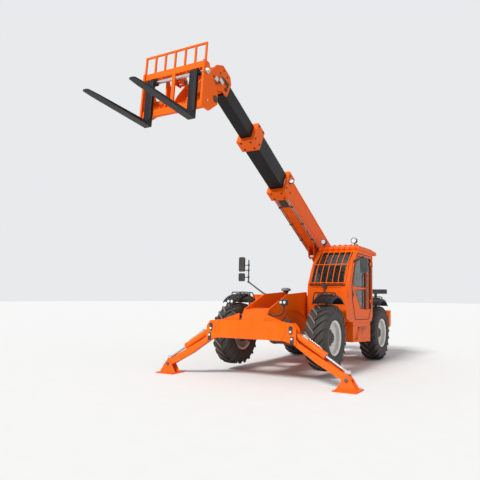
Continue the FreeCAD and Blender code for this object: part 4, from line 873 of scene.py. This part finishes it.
class TELEHANDLER_OT_carriage(bpy.types.Operator):
    """End discs of the fork shaft, retainers, pins and fittings of the head"""
    bl_idname = "telehandler.carriage"
    bl_label = "Carriage details"

    def execute(self, context):
        discs = Shape()
        discs.disc(SHAFT_X, SHAFT_Z, CARRIAGE_SIDE, 0.590, 0.047, 32)
        discs.disc(SHAFT_X, SHAFT_Z, 0.590, 0.612, 0.034, 32, 0.028)
        discs.bolts(0.610, ((SHAFT_X, SHAFT_Z),), 0.03, 0.012)
        discs.disc(0.195, -0.10, CARRIAGE_SIDE, 0.574, 0.014)
        discs.fit("shaft_discs", "bright", "carriage", CARRIAGE, both=True)
        caps = Shape().disc(0, 0, CARRIAGE_SIDE, 0.581, 0.050, 32)
        caps.bolts(0.581, circle(0.03, 4, 45), 0.016, 0.007).disc(0.081, 0.320, 0.066, 0.078, 0.034)
        caps.fit("hinge_caps", "steel", "carriage", CARRIAGE, 0.002, both=True)
        gussets = Shape()
        for y in (-0.46, -0.23, 0.23, 0.46):
            gussets.plate([(0.234, -0.135), (0.299, -0.135), (0.299, -0.100)], y, 0.010)
            gussets.plate([(0.234, 0.374), (0.299, 0.374), (0.299, 0.340)], y, 0.010)
        gussets.fit("bar_gussets", "body", "carriage", CARRIAGE, 0.0015)
        Shape().plate([(0.234, -0.225), (0.234, -0.140), (0.170, 0.016), (0.190, 0.364), (0.234, 0.379),
                       (0.234, 0.464), (0.150, 0.409), (-0.045, 0.065), (-0.062, 0.020)], 0.205, 0.025).fit(
            "inner_gussets", "body", "carriage", CARRIAGE, 0.003, both=True)
        Shape().disc(0.150, 0.016, 0.229, 0.541, 0.052, 40).disc(0.150, 0.016, 0.229, 0.244, 0.060, 40).fit(
            "cross_tubes", "body", "carriage", CARRIAGE, both=True)
        pins = Shape().disc(6.735, -0.02, HEAD_SIDE, 0.143, 0.036, 32).bolts(0.143, ((6.735, -0.02),), 0.024, 0.010)
        pins.bolts(HEAD_SIDE, ((6.80, 0.20), (6.93, 0.22), (6.99, 0.10), (7.10, -0.10), (6.78, 0.08)), 0.022, 0.010)
        pins.fit("head_pins", "steel", "boom_inner", BOOM, both=True)
        valve = Shape().block((6.885, HEAD_SIDE, -0.085), (6.985, 0.178, -0.015), 0.008, "Y")
        valve.block((7.020, HEAD_SIDE, -0.160), (7.085, 0.172, -0.080), 0.008, "Y")
        valve.fit("head_valve", "bright", "boom_inner", BOOM, 0.002)
        lines, unions = Shape(), Shape()
        for k in range(3):
            u, w = 6.905 + 0.03 * k, 0.02 * k
            lines.pipe([(u, 0.155, -0.018), (u, 0.157, 0.025), (u - 0.035, 0.158, 0.06), (6.76, 0.156, 0.06 + w),
                        (6.72, 0.150, 0.055 + w), (6.70, 0.1145, 0.045 + w)], 0.008)
            unions.bar((u, 0.155, -0.018), (u, 0.155, 0.004), 0.012, 6)
        lines.pipe([(6.955, 0.160, -0.085), (6.960, 0.162, -0.13), (6.99, 0.160, -0.165), (7.03, 0.158, -0.158)], 0.009)
        lines.fit("head_pipes", "steel", "boom_inner", BOOM)
        unions.fit("pipe_unions", "bright", "boom_inner", BOOM)
        return {"FINISHED"}


class TELEHANDLER_OT_stabilisers(bpy.types.Operator):
    """Keeper plates and pins of the beam, valve blocks of the leg cylinders, pins of the feet"""
    bl_idname = "telehandler.stabilisers"
    bl_label = "Stabiliser details"

    def execute(self, context):
        x, face = BEAM_FRONT, BEAM_FRONT + 0.0005
        keepers, pins, folds, valves = Shape(), Shape(), Shape(), Shape()
        for (y, z), low, high, bolt in ((CYLINDER_PIN, 0.716, 0.862, 0.834), (LEG_PIN, 0.536, 0.684, 0.564)):
            keepers.block((face, y - 0.034, low), (x + 0.012, y + 0.034, high), 0.0325, "X")
            keepers.bolt((x + 0.012, y, bolt), (1, 0, 0), 0.022, 0.009)
            pins.bar((x + 0.010, y, z), (x + 0.021, y, z), 0.021, 24)
        for y, z in ((0.640, 0.600), (0.640, 0.905)):
            folds.bar((face, y, z), (face, 0.735, 0.760), 0.0075, 12)
        valves.block((x - 0.120, 0.690, 0.895), (x - 0.050, 0.780, 0.960), 0.008, "Z")
        for y, top in ((0.700, 0.985), (0.765, 0.975)):
            valves.bar((x - 0.085, y, 0.955), (x - 0.085, y, top), 0.014, 16)
        valves.pipe([(x - 0.085, 0.700, 0.97), (x - 0.085, 0.700, 1.01), (x - 0.13, 0.67, 1.015),
                     (x - 0.165, 0.62, 0.99), (x - 0.172, 0.57, 0.93), (x - 0.172, 0.52, 0.88)], 0.009)
        keepers.fit("beam_keepers", "plastic", bevel=0.0015, both=True)
        pins.fit("beam_pin_ends", "rim", bevel=0.002, both=True)
        folds.fit("beam_folds", "body", both=True)
        valves.fit("beam_valves", "plastic", both=True)
        Shape().plate([(0.262, 0.920), (0.640, 0.918), (0.600, 0.935), (0.262, 1.055)], x - 0.100, 0.018, 0).fit(
            "beam_webs", "body", bevel=0.002, both=True)
        Shape().sweep([(1.034, 0.2605), (1.034, 0.276), (1.050, 0.276), (1.050, 0.2605)], 31, -62, 28).fit(
            "axle_arches", "body", place=MACHINE @ moved(WHEELBASE - 0.092, 0, 0.076), bevel=0.0015, both=True)
        for tag, side in SIDES.items():
            barrel, reach = leg_cylinder(side)
            w = 0.0595
            valve = Shape().block((0.20, -0.030, w - 0.008), (0.315, 0.030, w + 0.026), 0.006, "Y")
            valve.bar((0.235, 0, w + 0.02), (0.235, 0, w + 0.043), 0.012, 6)
            valve.bar((0.280, 0, w + 0.02), (0.280, 0, w + 0.038), 0.010, 6)
            valve.pipe([(0.315, 0.012, w + 0.008), (0.42, 0.012, w + 0.010), (0.52, 0.012, w + 0.010),
                        (0.575, 0.012, w + 0.009), (0.600, 0.012, w - 0.004)], 0.006)
            valve.fit("leg_valve_" + tag, "bright", "leg_ram_barrel_" + tag, barrel, 0.001)
            discs = Shape()
            for way in (-1, 1):
                discs.bar((way * 0.093, 0, 0), (way * 0.1005, 0, 0), 0.034, 32)
                discs.bar((way * 0.0995, 0, 0), (way * 0.104, 0, 0), 0.020, 6)
            pin = MACHINE @ moved(LEG_X, side * FOOT_PIN[0], FOOT_PIN[1])
            discs.fit("foot_pin_discs_" + tag, "steel", "foot_" + tag, pin, 0.001)
        return {"FINISHED"}


class TELEHANDLER_OT_shapes(bpy.types.Operator):
    """Finer shapes of the guard, leg cylinders, forks and side box"""
    bl_idname = "telehandler.shapes"
    bl_label = "Finer shapes"

    def execute(self, context):
        guard = Shape()
        curve = [Vector((x, 0, z)) for x, z in ((2.400, 1.655), (2.375, 1.900), (2.110, 2.250), (1.740, 2.512))]
        arc = [(p.x, p.z) for p in geometry.interpolate_bezier(*curve, 14)]
        arc += [(1.660, 2.540), (1.600, 2.551), (1.572, 2.545), (1.570, 2.513)]
        for k in range(7):
            guard.pipe([(x, 0.347 + 0.126 * k, z) for x, z in arc], 0.0085, smooth=False, ring=3)
        for x, z in ((2.394, 1.690), (2.199, 2.077), (1.572, 2.536)):
            guard.disc(x, z, 0.330, 1.120, 0.009, 16)
        for y in (0.340, 1.090):
            guard.block((2.360, y, 1.662), (2.398, y + 0.020, 1.698), 0.006, "Y")
        guard.fit("guard_bars", "body", replaces="screen_guard")
        for tag, side in SIDES.items():
            barrel, reach = leg_cylinder(side)
            end = 0.62 * reach
            tube = Shape()
            tube.lathe([(0.0226, end), (0.056, end), (0.0630, end - 0.006), (0.0630, end - 0.052),
                        (0.0605, end - 0.058), (0.0605, 0.168), (0.056, 0.150), (0.041, 0.140), (0.038, 0.032),
                        (0.0226, 0.032)], 56, turned("Z", -90), closed=True)
            tube.lathe([(0.0202, -0.045), (0.038, -0.045), (0.040, -0.043), (0.040, 0.043), (0.038, 0.045),
                        (0.0202, 0.045)], 48, closed=True)
            tube.fit("leg_cylinder_" + tag, "body", "leg_ram_barrel_" + tag, barrel, replaces="leg_ram_barrel_" + tag)
            fork = Shape()
            fork.bm.from_mesh(NODES["fork_" + tag].data)
            bmesh.ops.remove_doubles(fork.bm, verts=fork.bm.verts, dist=0.00002)
            bmesh.ops.transform(fork.bm, matrix=CARRIAGE.inverted(), verts=fork.bm.verts)
            bmesh.ops.dissolve_limit(fork.bm, angle_limit=0.01, verts=fork.bm.verts, edges=fork.bm.edges)
            for way in (-1, 1):
                # where a cut meets the tip's end, from the blade's middle, and its angle to the blade
                for half, lean in ((0.052, 4), (0.044, 22), (0.029, 50)):
                    lean = math.radians(lean)
                    fork.cut((FORK_TIP, side * FORK_MIDDLE + way * half, 0), (math.sin(lean), way * math.cos(lean), 0),
                             clear=True)
            fork.fit("tapered_fork_" + tag, "black", "fork_" + tag, CARRIAGE, 0.004, replaces="fork_" + tag)
        box = Shape().plate([(0.765, 0.460), (1.945, 0.490), (1.945, 0.860), (0.765, 0.860)], 0.640, 0.490)
        for x in (1.30, 1.64):
            box.cut((x, 0, 0), (1, 0, 0))
        for z in (0.525, 0.800):
            box.cut((0, 0, z), (0, 0, 1))
        recess = Vector((1.47, 1.13, 0.66))
        box.push(min(box.bm.faces, key=lambda f: (f.calc_center_median() - recess).length), (0, -0.12, 0))
        box.block((0.766, 0.965, 0.860), (1.944, 1.129, 0.9045))
        box.fit("side_box_step", "body", bevel=0.004, replaces="side_box")
        return {"FINISHED"}


class TELEHANDLER_OT_lamps(bpy.types.Operator):
    """Arms and frames of the head lamps, and the lenses of all lamps"""
    bl_idname = "telehandler.lamps"
    bl_label = "Lamp lenses"

    def execute(self, context):
        x = WHEELBASE + 0.905
        bends = ((0.262, 1.020), (0.400, 1.020), (0.490, 1.035), (0.545, 1.090), (0.550, 1.160), (0.550, 1.225))
        arms = Shape().pipe([(x, y, z) for y, z in bends], 0.015)
        arms.block((x - 0.025, 0.2602, 0.985), (x + 0.025, 0.272, 1.055), 0.012, "Y")
        arms.fit("lamp_arms", "plastic", both=True, replaces="head_lamps")
        lenses, frames, x = Shape(), Shape(), LAMP_FRONT
        for y in (0.514, 0.586):
            frames.block((x - 0.088, y - 0.034, 1.214), (x + 0.004, y + 0.034, 1.316), 0.020, "X")
            lenses.bar((x, y, 1.265), (x + 0.009, y, 1.265), 0.026, 40, 0.022)
        frames.block((x - 0.070, 0.505, 1.205), (x - 0.030, 0.595, 1.222), 0.006, "Y").mirror()
        lenses.mirror()
        bezel = [(0.0525, 0.0), (0.063, 0.0), (0.0635, 0.006), (0.0635, 0.016), (0.0575, 0.018), (0.0525, 0.014)]
        for y in (1.065, 0.373):
            lenses.bar((1.708, y, 2.62), (1.720, y, 2.62), 0.052, 40, 0.047)
            frames.lathe(bezel, 40, moved(1.704, y, 2.62) @ turned("Z", -90), closed=True)
        lenses.fit("clear_lenses", "clear", bevel=0.002)
        frames.fit("lamp_frames", "plastic", bevel=0.002, replaces="head_lamps")
        for name, finish, start, end in (("red_lenses", "red", -0.07, 0.0), ("amber_lenses", "amber", 0.005, 0.07)):
            rear = Shape()
            for y in (-0.86, 0.86):
                rear.block((-1.218, y + start, 1.59), (-1.209, y + end, 1.665), 0.012, "X")
            rear.fit(name, finish, bevel=0.003)
        return {"FINISHED"}


# Outlines on the door's outside, X and Z
DOOR_EDGE = ((0.965, 0.953), (1.857, 0.953), (2.025, 1.352), (2.064, 1.65), (1.925, 2.037), (1.698, 2.345),
             (0.765, 2.345), (0.765, 1.252))
DOOR_PANES = (
    ((1.18, 1.64), (1.96, 1.64), (2.0, 1.70), (1.88, 2.03), (1.65, 2.29), (1.18, 2.29)),
    ((1.18, 1.18), (1.5, 1.18), (1.88, 1.56), (1.18, 1.60)),
    ((0.82, 1.18), (1.12, 1.18), (1.12, 2.29), (0.82, 2.29)),
)


class TELEHANDLER_OT_cab(bpy.types.Operator):
    """Gaskets, handle, grab rails, wiper, sill and slots of the cab"""
    bl_idname = "telehandler.cab"
    bl_label = "Cab trim"

    def execute(self, context):
        door, cab = Shape(), Shape()
        for radius, outline in ((0.0085, DOOR_EDGE), *((0.007, pane) for pane in DOOR_PANES)):
            door.seal([(x, DOOR_FACE, z) for x, z in outline], radius)
        door.fit("door_gaskets", "gasket", "door")
        screen = [(2.351, 1.683), (2.133, 2.068), (1.777, 2.361)]
        cab.seal([(x, 1.072, z) for x, z in screen] + [(x, 0.378, z) for x, z in reversed(screen)], 0.010)
        right = ((0.76, 1.5), (2.18, 1.5), (2.22, 1.68), (1.99, 2.08), (1.70, 2.32), (0.76, 2.32))
        cab.seal([(x, 0.2995, z) for x, z in right], 0.008)
        rear = ((0.402, 1.452), (1.048, 1.452), (1.048, 2.298), (0.402, 2.298))
        cab.seal([(0.6645, y, z) for y, z in rear], 0.008)
        cab.fit("cab_gaskets", "gasket")
        handle = Shape().block((1.980, DOOR_FACE - 0.001, 1.40), (2.028, 1.1575, 1.55), 0.023, "Y")
        handle.block((1.990, 1.156, 1.45), (2.018, 1.176, 1.475), 0.010, "X")
        handle.fit("door_handle", "plastic", "door", bevel=0.002)
        rail = Shape().pipe([(1.15, y, z) for y, z in (
            (1.149, 1.945), (1.180, 1.945), (1.196, 1.93), (1.197, 1.80), (1.197, 1.32), (1.196, 1.18),
            (1.180, 1.165), (1.149, 1.165))], 0.013)
        for z in (1.945, 1.165):
            rail.disc(1.15, z, 1.149, 1.156, 0.026)
        rail.fit("door_rail", "body", "door")
        Shape().pipe([(2.150, 1.149, 2.10), (2.158, 1.175, 2.10), (2.20, 1.192, 2.05), (2.32, 1.194, 1.86),
                      (2.40, 1.194, 1.66), (2.405, 1.192, 1.50), (2.37, 1.178, 1.42), (2.34, 1.149, 1.40)], 0.012).fit(
            "pillar_rail", "body")
        wiper = Shape().block((2.362, 0.640, 1.585), (2.415, 0.725, 1.655), 0.012, "X")
        wiper.bar((2.380, 0.682, 1.655), (2.392, 0.682, 1.69), 0.018, 20)
        wiper.bar((2.405, 0.682, 1.50), (2.405, 0.682, 1.59), 0.012, 16)
        wiper.pipe([(2.388, 0.682, 1.675), (2.402, 0.69, 1.70), (2.350, 0.74, 1.80), (2.205, 0.80, 2.04)], 0.007)
        wiper.block((2.150, 0.790, 1.985), (2.172, 0.806, 2.055))
        wiper.fit("wiper", "plastic")
        Shape().block((2.358, 0.345, 1.640), (2.398, 1.105, 1.664), 0.006, "Y").fit("screen_sill", "gasket")
        slots = Shape()
        for k in range(7):
            y = 0.392 + 0.095 * k
            slots.block((2.366, y, 1.600), (2.383, y + 0.062, 1.617), 0.007, "X")
        slots.fit("sill_slots", "body", bevel=0.002)
        return {"FINISHED"}


def swell(pad, cap):
    """Cloth simulation pushes the cover out from its padding; its result stays in the mesh."""
    scene = bpy.context.scene
    remesh = pad.modifiers.new("Even mesh", "REMESH")
    remesh.mode = "VOXEL"
    remesh.voxel_size = 0.0055
    graph = bpy.context.evaluated_depsgraph_get()
    even = bpy.data.meshes.new_from_object(pad.evaluated_get(graph))
    pad.modifiers.clear()
    material = pad.data.materials[0]
    pad.data = even
    even.materials.clear()
    even.materials.append(material)
    rest = [v.co.copy() for v in even.vertices]
    held = pad.vertex_groups.new(name="held")
    lowest = min(co.z for co in rest)
    held.add([k for k, co in enumerate(rest) if co.z < lowest + 0.02], 1.0, "REPLACE")
    cloth = pad.modifiers.new("Padding", "CLOTH").settings
    cloth.use_pressure = True
    cloth.uniform_pressure_force = 4.0
    cloth.effector_weights.gravity = 0.0
    cloth.vertex_group_mass = "held"
    for moment in range(1, 21):
        scene.frame_set(moment)
    graph = bpy.context.evaluated_depsgraph_get()
    pushed = pad.evaluated_get(graph).to_mesh()
    for vertex, start, end in zip(even.vertices, rest, [v.co.copy() for v in pushed.vertices]):
        move = end - start
        vertex.co = start + (move * (cap / move.length) if move.length > cap else move)
    pad.evaluated_get(graph).to_mesh_clear()
    pad.modifiers.clear()
    pad.vertex_groups.clear()
    scene.frame_set(1)
    even.shade_smooth()
    fine = pad.modifiers.new("Fine mesh", "SUBSURF")
    fine.levels = fine.render_levels = 1


class TELEHANDLER_OT_interior(bpy.types.Operator):
    """Padded seat, steering wheel, column and console"""
    bl_idname = "telehandler.interior"
    bl_label = "Cab interior"

    def execute(self, context):
        middle = 0.725
        seat, back = (0.835, middle, 1.350), (0.885, middle, 1.452)
        for name, low, high, lean, foot, node in (
            ("seat_cushion", (0.0, -0.225, 0.0), (0.50, 0.225, 0.085), -4, seat, "seat"),
            ("seat_back", (0.0, -0.215, 0.0), (0.085, 0.215, 0.540), -7, back, "seat"),
            ("seat_left_roll", (0.02, 0.165, 0.060), (0.47, 0.225, 0.105), -4, seat, None),
            ("seat_right_roll", (0.02, -0.225, 0.060), (0.47, -0.165, 0.105), -4, seat, None),
        ):
            pad = Shape().block(low, high, 0.026, segments=4).fit(
                name, "cloth", place=MACHINE @ moved(*foot) @ turned("Y", lean), replaces=node)
            swell(pad, 0.009)
        column = Shape().bar((1.960, middle, 0.948), (1.775, middle, 1.560), 0.062, 24, 0.034)
        column.bar((1.972, middle, 0.945), (1.955, middle, 1.000), 0.080, 24, 0.066)
        hub = moved(1.758, middle, 1.607) @ turned("Y", -22)
        column.bar(hub @ Vector((0, 0, -0.05)), hub @ Vector((0, 0, 0.012)), 0.030, 24, 0.038)
        column.fit("wheel_column", "plastic", replaces="steering_column")
        wheel = Shape().ring(context.scene.telehandler_sizes.wheel_grip, 0.013, hub @ turned("X", 90))
        for start, end in zip(circle(0.03, 3, 30), circle(0.17, 3, 30)):
            wheel.bar(hub @ Vector((*start, 0)), hub @ Vector((*end, 0)), 0.008, 12)
        wheel.fit("steering_wheel", "plastic", replaces="steering_column")
        console = Shape().block((0.95, 0.365, 0.950), (1.60, 0.450, 1.50), 0.03, "Y")
        console.bar((1.42, 0.41, 1.49), (1.45, 0.42, 1.60), 0.012, 16)
        console.bar((1.45, 0.42, 1.60), (1.452, 0.421, 1.66), 0.022, 20, 0.018)
        console.fit("side_console", "plastic", bevel=0.004)
        Shape().block((1.99, 0.42, 1.42), (2.20, 1.03, 1.55), 0.05, "Y").fit("dash_board", "plastic", bevel=0.004)
        return {"FINISHED"}


class TELEHANDLER_OT_outside(bpy.types.Operator):
    """Mirrors, pre-cleaner, louvres, steps and the rear's details"""
    bl_idname = "telehandler.outside"
    bl_label = "Outside details"

    def execute(self, context):
        x, y = WHEELBASE - 0.42, -0.960
        heads, glass = Shape(), Shape()
        for low, high, radius in ((1.922, 2.238, 0.028), (1.712, 1.888, 0.026)):
            heads.block((x - 0.024, y - 0.240, low), (x + 0.024, y - 0.102, high), radius, "X")
            glass.block((x - 0.0265, y - 0.230, low + 0.012), (x - 0.0235, y - 0.112, high - 0.012), 0.020, "X")
        heads.bar((x, y, 1.690), (x, y, 2.174), 0.0135, 20)
        for z in (2.06, 1.95, 1.80):
            heads.disc(x, z, y - 0.110, y + 0.004, 0.009, 16)
            heads.bar((x, y, z - 0.022), (x, y, z + 0.022), 0.021, 20)
        heads.bar((WHEELBASE + 0.110, -0.273, 1.424), (x, y, 1.700), 0.0155, 20)
        heads.bar((x, y, 1.680), (x, y, 1.720), 0.024, 20)
        heads.block((WHEELBASE + 0.080, -0.279, 1.381), (WHEELBASE + 0.140, -0.261, 1.449), 0.012, "Y")
        heads.fit("right_mirror_heads", "plastic", bevel=0.003, replaces="right_mirrors")
        x = CAB_FRONT - 0.155
        glass.block((x - 0.0275, 1.396, 1.912), (x - 0.0245, 1.524, 2.178), 0.022, "X")
        glass.fit("mirror_glass", "mirror")
        left = Shape().block((x - 0.024, 1.386, 1.896), (x + 0.024, 1.534, 2.194), 0.030, "X")
        left.pipe([(CAB_FRONT - 0.475, 1.160, 2.160), (CAB_FRONT - 0.46, 1.20, 2.168), (x - 0.06, 1.41, 2.222),
                   (x, 1.450, 2.232), (x, 1.452, 2.215), (x, 1.452, 2.180)], 0.0115)
        left.block((CAB_FRONT - 0.505, DOOR_FACE, 2.130), (CAB_FRONT - 0.445, 1.174, 2.190), 0.012, "Y")
        left.fit("left_mirror_head", "plastic", bevel=0.003, replaces="left_mirror")
        upright = MACHINE @ moved(1.540, -0.600, 0) @ turned("X", 90)
        Shape().lathe([(0.0, 1.618), (0.045, 1.616), (0.085, 1.606), (0.108, 1.588), (0.1115, 1.572), (0.1115, 1.556),
                       (0.104, 1.546), (0.050, 1.546), (0.0, 1.546)], 56).fit(
            "cleaner_bowl", "grey", place=upright, smooth=40, replaces="pre_cleaner")
        Shape().lathe([(0.0, 1.545), (0.060, 1.544), (0.070, 1.530), (0.047, 1.505), (0.045, 1.470), (0.058, 1.462),
                       (0.060, 1.442), (0.0, 1.442)], 40).fit(
            "cleaner_neck", "plastic", place=upright, smooth=40, replaces="pre_cleaner")
        louvres, latches, tread, bolts = Shape(), Shape(), Shape(), Shape()
        for k in range(12):
            louvres.block((1.02, -1.1475, 0.62 + 0.045 * k), (1.92, -1.1395, 0.642 + 0.045 * k))
        for k in range(9):
            louvres.block((0.757, -1.02, 0.98 + 0.04 * k), (0.7655, -0.42, 0.998 + 0.04 * k))
            tread.block((1.32 + 0.036 * k, 1.02, 0.526), (1.332 + 0.036 * k, 1.124, 0.5325))
        louvres.fit("hood_louvres", "plastic", bevel=0.003)
        for x in (0.90, 2.02):
            latches.block((x, -1.150, 1.20), (x + 0.05, -1.139, 1.27), 0.012, "Y")
        latches.fit("hood_latches", "steel", bevel=0.002)
        tread.block((1.305, 1.015, 0.5195), (1.635, 1.128, 0.528), 0.008, "Z")
        tread.fit("step_tread", "steel", bevel=0.001)
        bolts.bolts(0.260, [(x, z) for x in (-1.02, -0.9) for z in (0.72, 0.92)], 0.03).mirror()
        bolts.bolts(1.130, ((0.80, 0.52), (0.80, 0.83), (1.90, 0.54), (1.90, 0.83), (1.70, 0.54), (1.24, 0.54)),
                    0.018, 0.007)
        bolts.fit("panel_bolts", "steel")
        bars, hitch = Shape(), Shape()
        for k in range(4):
            bars.block((-1.2155, -0.70, 1.590 + 0.022 * k), (-1.2085, 0.70, 1.600 + 0.022 * k))
        bars.fit("bar_louvres", "plastic", bevel=0.002)
        hitch.bar((-1.385, 0, 0.640), (-1.385, 0, 0.735), 0.0155, 24)
        hitch.bar((-1.385, 0, 0.696), (-1.385, 0, 0.706), 0.026, 24)
        hitch.ring(0.026, 0.004, moved(-1.385, 0, 0.756), 32)
        hitch.fit("tow_pin", "bright")
        Shape().block((-1.3365, 0.53, 0.98), (-1.3295, 0.71, 1.04), 0.02, "X").fit(
            "rear_reflectors", "red", bevel=0.002, both=True)
        return {"FINISHED"}


class TELEHANDLER_PT_sidebar(bpy.types.Panel):
    """Steps that dress the machine, in order"""
    bl_label = "Telehandler"
    bl_idname = "TELEHANDLER_PT_sidebar"
    bl_space_type = "VIEW_3D"
    bl_region_type = "UI"
    bl_category = "Telehandler"

    def draw(self, context):
        for group in (context.scene.telehandler_colours, context.scene.telehandler_sizes):
            for name in group.__annotations__:
                self.layout.prop(group, name)
        for step in STEPS:
            self.layout.operator(step.bl_idname)


STEPS = (
    TELEHANDLER_OT_finishes, TELEHANDLER_OT_tyres, TELEHANDLER_OT_wheel_trim, TELEHANDLER_OT_mudguards,
    TELEHANDLER_OT_boom, TELEHANDLER_OT_carriage, TELEHANDLER_OT_stabilisers, TELEHANDLER_OT_shapes,
    TELEHANDLER_OT_lamps, TELEHANDLER_OT_cab, TELEHANDLER_OT_interior, TELEHANDLER_OT_outside,
    TELEHANDLER_OT_stage,
)
CLASSES = (TelehandlerColours, TelehandlerSizes) + STEPS + (TELEHANDLER_PT_sidebar,)


def register():
    for kind in CLASSES:
        bpy.utils.register_class(kind)
    bpy.types.Scene.telehandler_colours = bpy.props.PointerProperty(type=TelehandlerColours)
    bpy.types.Scene.telehandler_sizes = bpy.props.PointerProperty(type=TelehandlerSizes)


def unregister():
    del bpy.types.Scene.telehandler_colours
    del bpy.types.Scene.telehandler_sizes
    for kind in reversed(CLASSES):
        bpy.utils.unregister_class(kind)


def main():
    register()
    for step in STEPS:
        area, name = step.bl_idname.split(".")
        getattr(getattr(bpy.ops, area), name)()


if __name__ == "__main__":
    main()
